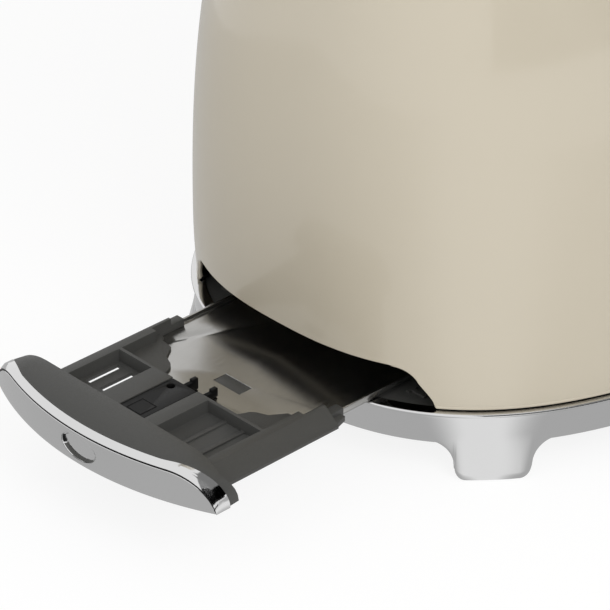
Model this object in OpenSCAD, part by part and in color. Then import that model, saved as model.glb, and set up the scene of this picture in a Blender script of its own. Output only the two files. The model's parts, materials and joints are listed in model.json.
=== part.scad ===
// Pop-up toaster with a rounded steel body, a polished base and a draw-out crumb tray.
// The origin is on the worktop under the middle of the body. +X runs along the bread slots
// towards the lever and dial, and the crumb tray comes out of the -X end.

/* [Body] */
// Length of the body at its widest level
body_length = 309; // [300:1:318]
// Width of the body at its widest level
body_width = 195; // [188:1:204]
// Height of the shell's top edge
shell_top = 192; // [188:1:198]
// Squareness of the plan outline, where 2 is an ellipse
plan_power = 2.55; // [2.4:0.05:2.8]
// Height of the widest level
widest_z = 47; // [42:1:56]
// How far the shoulders come in at the top edge
shoulder_in = 40; // [37:1:43]
// Squareness of the shoulders
shoulder_power = 2.3; // [2.1:0.1:2.6]
// How far the shell tucks in at its lower edge
hem_tuck = 1; // [0:0.5:1.5]
// Thickness of the steel shell
shell_wall = 2; // [1.5:0.25:2.25]
// Straight facets round the plan outline
plan_sides = 96; // [72:12:108]

/* [Base] */
// Height of the base ring's top edge
base_top = 23.3; // [22.5:0.1:25]
// Height of the base ring's lower edge between the feet
ring_low = 12; // [11:0.5:13]
// Wall of the base ring
ring_wall = 3; // [2.5:0.25:3.5]
// How far the polished bead stands proud of the ring
bead_out = 1; // [0.5:0.25:1.5]
// Height of the bead
bead_height = 1.3; // [1:0.1:2]
// Thickness of the dark seal between ring and shell
seal_height = 0.8; // [0.6:0.1:1.2]
// Half width of a foot's sole
foot_half = 8.2; // [7:0.2:9]
// Depth of a foot, measured inwards
foot_depth = 15; // [14:0.5:16]
// Height of a foot's metal above the worktop
foot_gap = 0.3; // [0.2:0.1:0.6]
// Radius of a rubber pad
pad_radius = 5.2; // [4.5:0.1:5.5]
// Thickness of a rubber pad
pad_height = 3; // [2.5:0.25:3.5]
// Thickness of the base floor
floor_height = 3; // [2.5:0.25:3.5]
// How far the base floor lies below the ring's top edge
floor_drop = 0.8; // [0.6:0.1:1]

/* [Bread slots] */
// Length of a bread slot
slot_length = 150; // [140:1:156]
// Width of a bread slot
slot_width = 34; // [32:1:35]
// Distance between the two slots' centre lines
slot_pitch = 48; // [47:0.5:49]
// Thickness of the top plate
top_thickness = 1.6; // [1.2:0.2:2]
// Height of the raised rim round each slot
rim_height = 3; // [2:0.5:4]
// Depth of the folded skirt under each slot
skirt_depth = 9; // [6:1:10]

/* [Lift] */
// Travel of the lever
lever_travel = 65; // [60:1:68]
// Height of the bread lifters at rest
lifter_z = 115; // [112:1:118]
// Height of the lever arm above the lifters
arm_rise = 33; // [31:1:35]
// Radius of a guide rod
rod_radius = 3; // [2.5:0.25:3.25]
// How far each bread guard closes in
guard_travel = 6; // [4:0.5:7]
// Radius of a guard's wires
guard_wire = 1; // [0.8:0.1:1.2]

/* [Controls] */
// Height of the dial's centre
dial_z = 51; // [50:0.5:53]
// Radius of the dial's face ring
dial_ring_radius = 21; // [19:0.5:22]
// Radius of the dial knob
dial_radius = 14.5; // [13:0.5:15.5]
// Length of the dial knob
dial_depth = 15; // [12:1:18]
// Radius of a push button
button_radius = 6.5; // [5.5:0.25:6.75]
// Travel of a push button
button_travel = 3; // [2:0.5:3.5]
// Distance of the buttons from the centre line
button_y = 35; // [34:0.5:36]
// Height difference between upper and lower buttons
button_pitch = 21; // [20:0.5:24]

/* [Crumb tray] */
// How far the tray is drawn out
tray_out = 82.8; // [0:0.1:90]
// Radius of the tray front's curved face, in plan
front_radius = 113.5; // [108:0.5:120]
// Height of the tray front
front_height = 13; // [12:0.25:13.5]
// Height of the crease between face and top band
crease_height = 11.3; // [10.5:0.1:11.5]
// Half width of the tray front along its lower edge
front_half = 50; // [49:0.2:52]
// Half width of the tray front's flat top edge
front_flat = 35; // [33:0.5:37]
// Squareness of the tray front's rounded ends
end_power = 2; // [1.8:0.1:2.4]
// Thickness of the chrome cap in the middle
cap_wall = 2.4; // [2:0.1:2.6]
// Thickness of the chrome cap at its ends
cap_thickness = 5; // [4:0.2:5.6]
// Depth of the top band behind the crease
band_depth = 1.6; // [1.3:0.1:1.8]
// Depth of the plastic flange from the face to its straight back
flange_depth = 17.8; // [17:0.2:20]
// Running gap under the tray
tray_gap = 0.4; // [0.3:0.05:0.5]
// Height of the carrier's deck above the ring's top edge
deck_height = 6; // [5.5:0.25:6.25]
// Half width of the carrier's deck
deck_half = 35.6; // [35:0.1:36]
// Half width of the carrier along its lower edge
carrier_half = 41.4; // [40.5:0.1:42]
// Length of the whole tray
tray_length = 225; // [210:1:230]
// Thickness of the crumb plate's sheet
sheet = 0.8; // [0.6:0.1:1]
// Half width of the crumb plate
plate_half = 36.7; // [36.3:0.1:36.8]
// Height of the crumb plate's side flanges
plate_flange = 2.2; // [1.8:0.1:2.5]

/* [Hidden] */
$fn = 48;
slip = 0.3;
touch = 0.05;
over = 1;

half_len = body_length / 2;
half_wid = body_width / 2;
shell_low = base_top + seal_height;
floor_z = base_top - floor_drop;
floor_low = floor_z - floor_height;

// Plan outline: a superellipse drawn in from the widest outline by inset.
function wave(v) = sign(v) * pow(abs(v), 2 / plan_power);
function plan_points(inset, x = half_len, y = half_wid) = [for (i = [0 : plan_sides - 1])
    [(x - inset) * wave(cos(360 * i / plan_sides)), (y - inset) * wave(sin(360 * i / plan_sides))]];
// Where the plan outline lies on X at a given distance from the centre line.
function plan_x(y, inset = 0) =
    (half_len - inset) * pow(1 - pow(abs(y) / (half_wid - inset), plan_power), 1 / plan_power);
function arc(x, y, r, from, to, steps = 8) = [for (i = [0 : steps])
    [x + r * cos(from + (to - from) * i / steps), y + r * sin(from + (to - from) * i / steps)]];
function flip(points) = [for (i = [len(points) - 1 : -1 : 0]) [-points[i][0], points[i][1]]];

module plan_slab(inset, low, high) {
    translate([0, 0, low])
        linear_extrude(high - low)
            polygon(plan_points(inset));
}
module plan_band(outer, inner, low, high) {
    difference() {
        plan_slab(outer, low, high);
        plan_slab(inner, low - over, high + over);
    }
}
// A block from one corner to the opposite one.
module block(low, high) {
    translate(low)
        cube(high - low);
}
// An outline drawn in Y and Z, pushed along X.
module along_x(from, to) {
    translate([from, 0, 0])
        rotate([90, 0, 90])
            linear_extrude(to - from)
                children();
}
module rod_x(from, to, r) {
    translate([from, 0, 0])
        rotate([0, 90, 0])
            cylinder(h = to - from, r = r);
}
module both_sides() {
    children();
    mirror([0, 1, 0])
        children();
}
module four_corners() {
    both_sides()
        children();
    mirror([1, 0, 0])
        both_sides()
            children();
}

// ---- Feet ----
foot_turn = 38.9;
foot_x = half_len * wave(cos(foot_turn));
foot_y = half_wid * wave(sin(foot_turn));
foot_angle = atan2(pow(sin(foot_turn), 2 - 2 / plan_power) / half_wid,
    pow(cos(foot_turn), 2 - 2 / plan_power) / half_len);
pad_back = foot_depth / 2 + 0.3;
pad_x = foot_x - pad_back * cos(foot_angle);
pad_y = foot_y - pad_back * sin(foot_angle);
sole_corner = 3.6;
flare_radius = 9;
flare_rise = 0.6;
flare_half = foot_half + sole_corner + flare_radius + 0.2;

function foot_side() = concat(
    arc(foot_half, foot_gap + sole_corner, sole_corner, -90, 0),
    arc(flare_half, ring_low + flare_rise - flare_radius, flare_radius, 170, 90),
    [[flare_half, floor_low]]);

module foot_outline() {
    polygon(concat(foot_side(), flip(foot_side())));
}
module foot_mask() {
    translate([foot_x, foot_y, 0])
        rotate([0, 0, foot_angle])
            along_x(-foot_depth * 2, foot_depth)
                foot_outline();
}

module base_ring() {
    color([0.78, 0.79, 0.8])
    difference() {
        union() {
            plan_band(0, ring_wall, ring_low, base_top);
            plan_band(-bead_out, ring_wall, base_top - bead_height, base_top);
            intersection() {
                plan_band(0, foot_depth, foot_gap, floor_low);
                four_corners()
                    foot_mask();
            }
        }
        four_corners()
            translate([pad_x, pad_y, foot_gap - over])
                cylinder(h = pad_height - foot_gap + over, r = pad_radius + touch);
    }
}

module foot_pads() {
    color([0.15, 0.15, 0.15])
    four_corners()
        translate([pad_x, pad_y, 0])
            cylinder(h = pad_height, r = pad_radius);
}

// ---- Base floor ----
vent_width = 3;
vent_length = 26;
vent_pitch = 9;
vent_y = 56;
vent_count = 9;
gland_x = pad_x - 30;
gland_y = pad_y - 1.7;
gland_radius = 6;
gland_bore = 3.6;
gland_low = 13;
gland_collar = 8;
screw_radius = 3.5;
screw_height = 1.5;
base_screw_x = pad_x - 50;
base_screw_y = pad_y - 1.7;
mark_x = -135.2;
mark_y = carrier_half - 2;
mark_half = 1.8;
mark_length = 6.6;
mark_line = 1.2;
mark_height = 0.8;

module base_plate() {
    color([0.2, 0.2, 0.21])
    difference() {
        union() {
            plan_slab(ring_wall + slip, floor_low, floor_z);
            plan_band(ring_wall + slip, ring_wall + slip + 2, floor_low - 3, floor_low);
            both_sides()
                locating_mark();
        }
        four_corners()
            foot_relief();
        both_sides()
            for (i = [0 : vent_count - 1])
                translate([(i - (vent_count - 1) / 2) * vent_pitch, vent_y, 0])
                    block([-vent_width / 2, 0, floor_low - over],
                        [vent_width / 2, vent_length, floor_z + over]);
        translate([gland_x, gland_y, floor_low - over])
            cylinder(h = floor_height + 2 * over, r = gland_radius + touch);
    }
}
// A raised T that the tray's guide is set against.
module locating_mark() {
    translate([mark_x, mark_y, floor_z - touch]) {
        block([-mark_half, 0, 0], [mark_half, mark_line, mark_height]);
        block([-mark_line / 2, 0, 0], [mark_line / 2, mark_length, mark_height]);
    }
}
module foot_relief() {
    translate([foot_x, foot_y, 0])
        rotate([0, 0, foot_angle])
            block([-foot_depth * 2, -flare_half - slip, floor_low - 3 - over],
                [over, flare_half + slip, floor_low]);
}

// The cord enters upwards through this bush in the base floor.
module cord_gland() {
    color([0.1, 0.1, 0.1])
    translate([gland_x, gland_y, 0])
        difference() {
            union() {
                translate([0, 0, gland_low])
                    cylinder(h = floor_z + 3 - gland_low, r = gland_radius);
                translate([0, 0, floor_low - 2])
                    cylinder(h = 2, r = gland_collar);
                translate([0, 0, floor_z])
                    cylinder(h = 2, r = gland_collar);
            }
            translate([0, 0, gland_low - over])
                cylinder(h = floor_z + 3 - gland_low + 2 * over, r = gland_bore);
        }
}

module base_screws() {
    color([0.6, 0.6, 0.6])
    four_corners()
        translate([base_screw_x, base_screw_y, floor_low - screw_height])
            cylinder(h = screw_height, r = screw_radius);
}

module base_seal() {
    color([0.08, 0.08, 0.08])
    difference() {
        plan_band(hem_tuck + 0.6, ring_wall + 1.5, base_top, shell_low);
        block([-half_len - over, -door_half - slip, base_top - over],
            [-half_len / 2, door_half + slip, shell_low + over]);
    }
}

// ---- Outer shell ----
// Levels of the outer skin as [inset, height], from the hem up over the shoulder.
hem_steps = 2;
shoulder_step = 10;
function hem_levels(extra) = [for (i = [0 : hem_steps - 1])
    [extra + hem_tuck * pow(1 - i / hem_steps, 2), shell_low + (widest_z - shell_low) * i / hem_steps]];
function shoulder_levels(extra) = [for (a = [0 : shoulder_step : 90])
    [extra + (shoulder_in - extra) * (1 - pow(cos(a), 2 / shoulder_power)),
     widest_z + (shell_top - extra - widest_z) * pow(sin(a), 2 / shoulder_power)]];
function skin_levels(extra) = concat(hem_levels(extra), shoulder_levels(extra));
// How far in the outer skin lies at a height above the widest level.
function skin_inset(z) = shoulder_in
    * (1 - pow(1 - pow(max(0, z - widest_z) / (shell_top - widest_z), shoulder_power), 1 / shoulder_power));
function backwards(list) = [for (i = [len(list) - 1 : -1 : 0]) list[i]];

// A closed skin through a loop of plan outlines.
module loop_skin(levels) {
    count = len(levels);
    points = [for (level = levels) for (p = plan_points(level[0])) [p[0], p[1], level[1]]];
    faces = [for (j = [0 : count - 1]) for (i = [0 : plan_sides - 1]) let (
        a = j * plan_sides + i,
        b = j * plan_sides + (i + 1) % plan_sides,
        c = ((j + 1) % count) * plan_sides + (i + 1) % plan_sides,
        d = ((j + 1) % count) * plan_sides + i) each [[a, c, b], [a, d, c]]];
    polyhedron(points = points, faces = faces, convexity = 6);
}

// The S-shaped outline of the tray's doorway, in Y and Z.
door_side_gap = 3.4;
door_top_gap = 1.3;
door_flare = 0.6;
corner_radius = 8;
door_half = front_half + door_side_gap;
door_high = front_height + tray_gap + door_top_gap;
door_side = concat(
    [[door_half + door_flare, 0], [door_half + door_flare / 4, door_high * 0.19],
        [door_half - 0.9, door_high * 0.36]],
    arc(door_half - 3 - corner_radius, door_high - corner_radius, corner_radius, 20, 90));
module door_outline() {
    translate([0, base_top - tray_gap])
        polygon(concat(door_side, flip(door_side)));
}

arm_half = 2;
arm_height = 12;
arm_z = lifter_z + arm_rise;
lever_slot_half = arm_half + 1.5;
lever_slot_low = arm_z - lever_travel - arm_height / 2 - 1;
lever_slot_high = arm_z + arm_height / 2 + 1;
bezel_wall = 2.5;
bezel_radius = button_radius + slip + bezel_wall;
button_places = [[-button_y, dial_z + button_pitch / 2], [button_y, dial_z + button_pitch / 2],
    [-button_y, dial_z - button_pitch / 2], [button_y, dial_z - button_pitch / 2]];
vent_slot_half = 12;
back_vent_z = 150;

module rounded_slot_x(from, to, y, low, high, r) {
    hull() {
        translate([0, y, low + r])
            rod_x(from, to, r, $fn = 32);
        translate([0, y, high - r])
            rod_x(from, to, r, $fn = 32);
    }
}
module outer_shell() {
    color([0.84, 0.79, 0.69])
    difference() {
        loop_skin(concat(skin_levels(0), backwards(skin_levels(shell_wall))));
        along_x(-half_len - over, -half_len / 2)
            door_outline();
        rounded_slot_x(half_len / 2, half_len + over, 0, lever_slot_low, lever_slot_high, lever_slot_half);
        translate([0, 0, dial_z])
            rod_x(half_len / 2, half_len + over, dial_ring_radius + 0.1, $fn = 64);
        for (p = button_places)
            rounded_slot_x(half_len / 2, half_len + over, p[0],
                p[1] - bezel_radius - 0.1, p[1] + bezel_radius + 0.1, bezel_radius + 0.099);
        for (i = [-2 : 2])
            hull() {
                translate([i * 9, half_wid - shoulder_in, back_vent_z - vent_slot_half])
                    rotate([-90, 0, 0])
                        cylinder(h = shoulder_in + over, r = 1.5, $fn = 16);
                translate([i * 9, half_wid - shoulder_in, back_vent_z + vent_slot_half])
                    rotate([-90, 0, 0])
                        cylinder(h = shoulder_in + over, r = 1.5, $fn = 16);
            }
    }
}

// ---- Top plate ----
slot_corner = 9;
rim_wall = 1.6;
plate_over = 3;
module rounded_plate(half_x, half_y, r) {
    square([2 * (half_x - r), 2 * half_y], center = true);
    square([2 * half_x, 2 * (half_y - r)], center = true);
    for (x = [-1, 1], y = [-1, 1])
        translate([x * (half_x - r), y * (half_y - r)])
            circle(r = r);
}
module slot_shape(grow) {
    rounded_plate(slot_length / 2 + grow, slot_width / 2 + grow, slot_corner + grow);
}
module top_plate() {
    color([0.8, 0.8, 0.79])
    difference() {
        translate([0, 0, shell_top])
            linear_extrude(top_thickness)
                polygon(plan_points(shoulder_in - plate_over));
        both_sides()
            translate([0, slot_pitch / 2, shell_top - over])
                linear_extrude(top_thickness + 2 * over)
                    slot_shape(rim_wall);
    }
}
// A pressed collar lines each slot, with a rim above the plate and a skirt below.
module slot_collar() {
    color([0.8, 0.8, 0.79])
    translate([0, slot_pitch / 2, shell_top - skirt_depth])
        linear_extrude(skirt_depth + top_thickness + rim_height)
            difference() {
                slot_shape(rim_wall);
                slot_shape(0);
            }
}
module left_slot_collar() {
    slot_collar();
}
module right_slot_collar() {
    mirror([0, 1, 0])
        slot_collar();
}

// ---- Chassis ----
end_x = 82;
end_sheet = 1.2;
end_half = 52;
end_step = 8;
end_neck = 42;
arch_half = 46.6;
arch_top = base_top + front_height + 2;
guard_ends = [52, shell_top - 16];
guard_open = slot_width / 2 - 2.5;
guard_thick = 2 * guard_wire;
lifter_half = 5;
lifter_sheet = 2;
neck_half = 1.5;
rod_x = 101;
rod_y = 14;
shelf_z = 168;
shelf_thick = 2;

module end_sheet_plate() {
    translate([end_x, 0, 0]) {
        block([0, -end_half, floor_z], [end_sheet, end_half, shell_top - end_step]);
        block([0, -end_neck, shell_top - end_step - over], [end_sheet, end_neck, shell_top]);
    }
}
// Slots in which the guards' cross wires and the lifters' necks travel.
module end_slots() {
    both_sides()
        translate([end_x - over, slot_pitch / 2, 0]) {
            both_sides()
                for (z = guard_ends)
                    block([0, guard_open - guard_travel - guard_wire - slip, z - guard_wire - slip],
                        [end_sheet + 2 * over, guard_open + guard_wire + slip, z + guard_wire + slip]);
            block([0, -neck_half - slip, lifter_z - lever_travel - lifter_sheet - 2],
                [end_sheet + 2 * over, neck_half + slip, lifter_z + 2]);
        }
}
module front_end_plate() {
    color([0.72, 0.73, 0.74])
    mirror([1, 0, 0])
        difference() {
            end_sheet_plate();
            end_slots();
            block([end_x - over, -arch_half, floor_z - over],
                [end_x + end_sheet + over, arch_half, arch_top]);
        }
}
module rear_end_plate() {
    color([0.72, 0.73, 0.74])
    difference() {
        union() {
            end_sheet_plate();
            block([end_x, -rod_y - 6, shelf_z], [rod_x + 6, rod_y + 6, shelf_z + shelf_thick]);
        }
        end_slots();
    }
}
screw_rows = 3;
screw_pitch = (shell_top - end_step - floor_z) / (screw_rows + 1);
module chassis_screws() {
    color([0.6, 0.6, 0.6])
    both_sides()
        for (side = [0, 1], row = [1 : screw_rows])
            mirror([side, 0, 0])
                translate([0, end_half - 4, floor_z + row * screw_pitch])
                    rod_x(end_x + end_sheet, end_x + end_sheet + screw_height, 3);
}

reflector_y = 50;
reflector_low = 42;
reflector_high = shell_top - 10;
module reflector() {
    color([0.75, 0.75, 0.74])
    block([-end_x, reflector_y, reflector_low], [end_x, reflector_y + 0.8, reflector_high]);
}
module left_reflector() {
    reflector();
}
module right_reflector() {
    mirror([0, 1, 0])
        reflector();
}

board_sheet = 1;
board_low = 46;
board_high = shell_top - 12;
outer_board_y = slot_pitch / 2 + slot_width / 2 + 4.5;
inner_board_y = slot_pitch / 2 - slot_width / 2 - 4;
wire_rows = 9;
wire_half = 0.25;
wire_width = 1.4;
wire_reach = 72;
wire_first = board_low + 12;
wire_pitch = (board_high - 14 - wire_first) / (wire_rows - 1);
module heater_board(y) {
    color([0.78, 0.74, 0.66])
    block([-end_x, y - board_sheet / 2, board_low], [end_x, y + board_sheet / 2, board_high]);
}
module heater_outer_left() {
    heater_board(outer_board_y);
}
module heater_inner_left() {
    heater_board(inner_board_y);
}
module heater_inner_right() {
    heater_board(-inner_board_y);
}
module heater_outer_right() {
    heater_board(-outer_board_y);
}
// One ribbon that zigzags up the bread side of a board.
module ribbon(y) {
    for (row = [0 : wire_rows - 1]) {
        z = wire_first + row * wire_pitch;
        block([-wire_reach, y - wire_half, z], [wire_reach, y + wire_half, z + wire_width]);
        if (row < wire_rows - 1) {
            end = row % 2 == 0 ? wire_reach - wire_width : -wire_reach;
            block([end, y - wire_half, z], [end + wire_width, y + wire_half, z + wire_pitch + wire_width]);
        }
    }
}
module heater_wires() {
    color([0.45, 0.42, 0.4])
    both_sides() {
        ribbon(outer_board_y - board_sheet / 2 - wire_half);
        ribbon(inner_board_y + board_sheet / 2 + wire_half);
    }
}

module guide_rods() {
    color([0.75, 0.75, 0.76])
    both_sides()
        translate([rod_x, rod_y, floor_z])
            cylinder(h = shelf_z - floor_z, r = rod_radius);
}

// ---- Lift carriage ----
bracket_x = 92;
bracket_sheet = 2.5;
bracket_half = 32;
bracket_low = lifter_z - 8;
bracket_high = arm_z + arm_height / 2;
bush_radius = 5.8;
bush_height = 26;
catch_length = 16;
catch_half = 6;
catch_sheet = 2;
spring_wire = 0.7;
spring_radius = 4.9;
spring_turns = 13;

module carriage_bracket() {
    color([0.7, 0.71, 0.72])
    difference() {
        union() {
            block([bracket_x, -bracket_half, bracket_low],
                [bracket_x + bracket_sheet, bracket_half, lifter_z + 6]);
            block([bracket_x, -rod_y, bracket_low], [bracket_x + bracket_sheet, rod_y, bracket_high]);
            block([bracket_x, -catch_half, bracket_low],
                [bracket_x + bracket_sheet + catch_length, catch_half, bracket_low + 2]);
            both_sides()
                translate([rod_x, rod_y, bracket_low])
                    cylinder(h = bush_height, r = bush_radius);
            both_sides()
                block([bracket_x, rod_y - 3, bracket_low],
                    [rod_x - bush_radius + 2, rod_y + 3, bracket_low + bush_height]);
        }
        both_sides()
            translate([rod_x, rod_y, bracket_low - over])
                cylinder(h = bush_height + 2 * over, r = rod_radius + slip);
    }
}
module catch_plate() {
    color([0.55, 0.56, 0.58])
    block([bracket_x + bracket_sheet, -catch_half, bracket_low - catch_sheet],
        [bracket_x + bracket_sheet + catch_length, catch_half, bracket_low]);
}
tooth_count = 8;
tooth_pitch = 18;
module lifter(y) {
    color([0.74, 0.74, 0.74])
    translate([0, y, lifter_z - lifter_sheet]) {
        block([-slot_length / 2 + 5, -neck_half, 0], [slot_length / 2 - 5, neck_half, lifter_sheet]);
        block([-end_x - 4, -neck_half, 0], [bracket_x, neck_half, lifter_sheet]);
        for (i = [0 : tooth_count - 1])
            block([(i - (tooth_count - 1) / 2) * tooth_pitch - 3, -lifter_half, 0],
                [(i - (tooth_count - 1) / 2) * tooth_pitch + 3, lifter_half, lifter_sheet]);
    }
}
module left_lifter() {
    lifter(slot_pitch / 2);
}
module right_lifter() {
    lifter(-slot_pitch / 2);
}
knob_near = half_len + 2;
knob_far = half_len + 20;
knob_half = 14;
knob_corner = 5;
knob_low = arm_z - 8;
knob_high = arm_z + 6;
module lever_arm() {
    color([0.7, 0.71, 0.72])
    block([bracket_x + bracket_sheet, -arm_half, arm_z - arm_height / 2],
        [knob_near + 6, arm_half, arm_z + arm_height / 2 - 2]);
}
module lever_knob() {
    color([0.12, 0.12, 0.12])
    difference() {
        along_x(knob_near, knob_far)
            translate([0, (knob_low + knob_high) / 2])
                rounded_plate(knob_half, (knob_high - knob_low) / 2, knob_corner);
        block([knob_near - over, -arm_half, arm_z - arm_height / 2],
            [knob_near + 6, arm_half, arm_z + arm_height / 2 - 2]);
    }
}
// Compression springs round the guide rods, standing on the base floor.
module return_springs() {
    color([0.7, 0.7, 0.7])
    both_sides()
        translate([rod_x, rod_y, floor_z])
            difference() {
                cylinder(h = bracket_low - floor_z, r = spring_radius);
                translate([0, 0, -over])
                    cylinder(h = bracket_low - floor_z + 2 * over, r = rod_radius + slip);
            }
}
magnet_half = 6;
module electromagnet() {
    color([0.65, 0.4, 0.2])
    block([bracket_x + 4, -magnet_half, floor_z],
        [bracket_x + 18, magnet_half, bracket_low - lever_travel - catch_sheet - slip]);
}

// ---- Bread guards ----
guard_reach = 72;
guard_wires = 9;
guard_pitch = 17;
module guard(slot_y, side) {
    y = slot_y + side * guard_open;
    color([0.62, 0.62, 0.62])
    union() {
        for (z = guard_ends)
            translate([0, y, z])
                rod_x(-end_x - 3, end_x + 3, guard_wire, $fn = 24);
        for (i = [0 : guard_wires - 1])
            translate([(i - (guard_wires - 1) / 2) * guard_pitch, y, guard_ends[0] - 2])
                cylinder(h = guard_ends[1] - guard_ends[0] + 4, r = guard_wire, $fn = 24);
    }
}
module guard_outer_left() {
    guard(slot_pitch / 2, 1);
}
module guard_inner_left() {
    guard(slot_pitch / 2, -1);
}
module guard_inner_right() {
    guard(-slot_pitch / 2, 1);
}
module guard_outer_right() {
    guard(-slot_pitch / 2, -1);
}

// ---- Controls ----
panel_x = 137;
panel_sheet = 3;
panel_half = 45;
panel_high = 74;
board_x = 118;
board_thick = 1.6;
shaft_radius = 3;
shaft_fit = 0.08;
pot_half = 11;
pot_front = 134;
pot_neck = 5;
pot_neck_end = 144;
ring_front = half_len + 3;
switch_half = 6;
switch_front = 130.5;
standoff_y = 42;
standoff_z = [31, 70];
module control_panel() {
    color([0.2, 0.2, 0.21])
    difference() {
        union() {
            block([panel_x, -panel_half, floor_z], [panel_x + panel_sheet, panel_half, panel_high]);
            both_sides()
                for (z = standoff_z)
                    translate([0, standoff_y, z])
                        rod_x(board_x + board_thick, panel_x + over, 2.5);
            intersection() {
                plan_slab(-bead_out, floor_z, panel_high);
                for (p = button_places)
                    translate([0, p[0], p[1]])
                        rod_x(panel_x, half_len + over, bezel_radius);
            }
        }
        for (p = button_places)
            translate([0, p[0], p[1]])
                rod_x(panel_x - over, half_len + 2 * over, button_radius + slip);
        translate([0, 0, dial_z])
            rod_x(panel_x - over, panel_x + panel_sheet + over, pot_neck + touch);
    }
}
module dial_ring() {
    color([0.78, 0.79, 0.8])
    translate([0, 0, dial_z])
        difference() {
            union() {
                rod_x(panel_x + panel_sheet, ring_front, dial_ring_radius - 2, $fn = 64);
                rod_x(ring_front - 8, ring_front, dial_ring_radius, $fn = 64);
            }
            rod_x(panel_x + panel_sheet + 6, ring_front + over, dial_radius + slip, $fn = 64);
            rod_x(panel_x, panel_x + panel_sheet + 7, pot_neck + touch);
        }
}
module potentiometer() {
    color([0.3, 0.32, 0.3])
    translate([0, 0, dial_z])
        difference() {
            union() {
                block([board_x + board_thick, -pot_half, -pot_half], [pot_front, pot_half, pot_half]);
                rod_x(pot_front - over, pot_neck_end, pot_neck);
            }
            rod_x(pot_front - 6, pot_neck_end + over, shaft_radius + shaft_fit);
        }
}
module dial_shaft() {
    color([0.75, 0.75, 0.76])
    translate([0, 0, dial_z])
        rod_x(pot_front - 5, ring_front + 6, shaft_radius);
}
module dial_knob() {
    color([0.12, 0.12, 0.12])
    translate([0, 0, dial_z])
        difference() {
            rod_x(pot_neck_end + 3, ring_front + dial_depth, dial_radius, $fn = 64);
            rod_x(pot_neck_end + 2, ring_front + 6, shaft_radius);
        }
}
module circuit_board() {
    color([0.15, 0.35, 0.2])
    block([board_x, -panel_half, floor_z + 4], [board_x + board_thick, panel_half, panel_high - 1]);
}
module switches() {
    color([0.25, 0.25, 0.26])
    for (p = button_places)
        translate([0, p[0], p[1]])
            block([board_x + board_thick, -switch_half, -switch_half],
                [switch_front, switch_half, switch_half]);
}
button_back = panel_x + panel_sheet + button_travel + 1;
module push_button(place) {
    color([0.8, 0.8, 0.79])
    intersection() {
        plan_slab(-bead_out - button_travel - 1, floor_z, panel_high);
        translate([0, place[0], place[1]])
            union() {
                rod_x(button_back, half_len + 10, button_radius);
                rod_x(switch_front + button_travel + slip, button_back + over, 2);
            }
    }
}
module button_bagel() {
    push_button(button_places[0]);
}
module button_defrost() {
    push_button(button_places[1]);
}
module button_reheat() {
    push_button(button_places[2]);
}
module button_cancel() {
    push_button(button_places[3]);
}

// ---- Crumb tray ----
// Depths in the tray are measured from the apex of its curved front.
front_x = -half_len - tray_out;
tray_z = base_top + tray_gap;
tip_depth = 22.5;
tip_width = 5;
cap_level = 32;
cap_steps = 16;

taper_start = 14;
taper_side = 0.8;
taper_flat = 4;

// The tray front's outline in Y and Z, with a flat top and rounded ends.
function front_end(half, flat) = [for (t = [0 : 9 : 90])
    [flat + (half - flat) * pow(cos(t), 2 / end_power), front_height * pow(sin(t), 2 / end_power)]];
module front_outline(half, flat) {
    translate([0, tray_z])
        polygon(concat(front_end(half, flat), flip(front_end(half, flat))));
}
// The front keeps its outline as far as the cap reaches, and gets a little smaller behind it.
module front_body(half) {
    hull() {
        along_x(front_x - over, front_x + taper_start)
            front_outline(half, front_flat);
        along_x(front_x + tip_depth, front_x + tip_depth + over)
            front_outline(half - taper_side, front_flat - taper_flat);
    }
}
// The inside of the cap follows the face, and draws back from it towards the ends.
function face_depth(y) = front_radius - sqrt(pow(front_radius, 2) - pow(y, 2));
function cap_back(y) = cap_wall
    + (cap_thickness - cap_wall) * max(0, abs(y) - cap_level) / (front_half - cap_level);
cap_inside = [for (i = [-cap_steps : cap_steps]) let (y = (front_half + over) * i / cap_steps)
    [face_depth(y) + cap_back(y), y]];

module tray_front_cap() {
    color([0.8, 0.81, 0.82])
    difference() {
        intersection() {
            translate([front_x + front_radius, 0, tray_z])
                rotate([0, 0, 150])
                    rotate_extrude(angle = 60, $fn = 144)
                        polygon([[front_radius - tip_depth, 0], [front_radius, 0],
                            [front_radius, crease_height], [front_radius - band_depth, front_height],
                            [front_radius - tip_depth, front_height]]);
            translate([front_x, 0, tray_z])
                linear_extrude(front_height)
                    polygon(concat([[-over, -front_half - over]], cap_inside,
                        [[-over, front_half + over]]));
            front_body(front_half);
        }
        push_pad_shape(over, touch);
    }
}
pad_half = 7.4;
pad_rise = 4;
pad_y_shift = -2;
pad_up = 6.3;
pad_proud = 0.6;
pad_deep = 1.5;
function oval(a, b) = [for (t = [0 : 10 : 350]) [a * cos(t), b * sin(t)]];
module push_pad_shape(front, grow) {
    translate([0, pad_y_shift, base_top + pad_up])
        along_x(front_x - front, front_x + pad_deep)
            polygon(oval(pad_half + grow, pad_rise + grow));
}
module tray_push_pad() {
    color([0.7, 0.71, 0.72])
    push_pad_shape(pad_proud, 0);
}

// The front flange fills the space behind the cap and its back edge is straight.
module carrier_flange() {
    intersection() {
        front_body(front_half - 0.4);
        translate([front_x, 0, tray_z])
            linear_extrude(front_height)
                polygon(concat(cap_inside, [[tip_depth, front_half], [flange_depth, front_half - tip_width],
                    [flange_depth, tip_width - front_half], [tip_depth, -front_half]]));
    }
}

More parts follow.
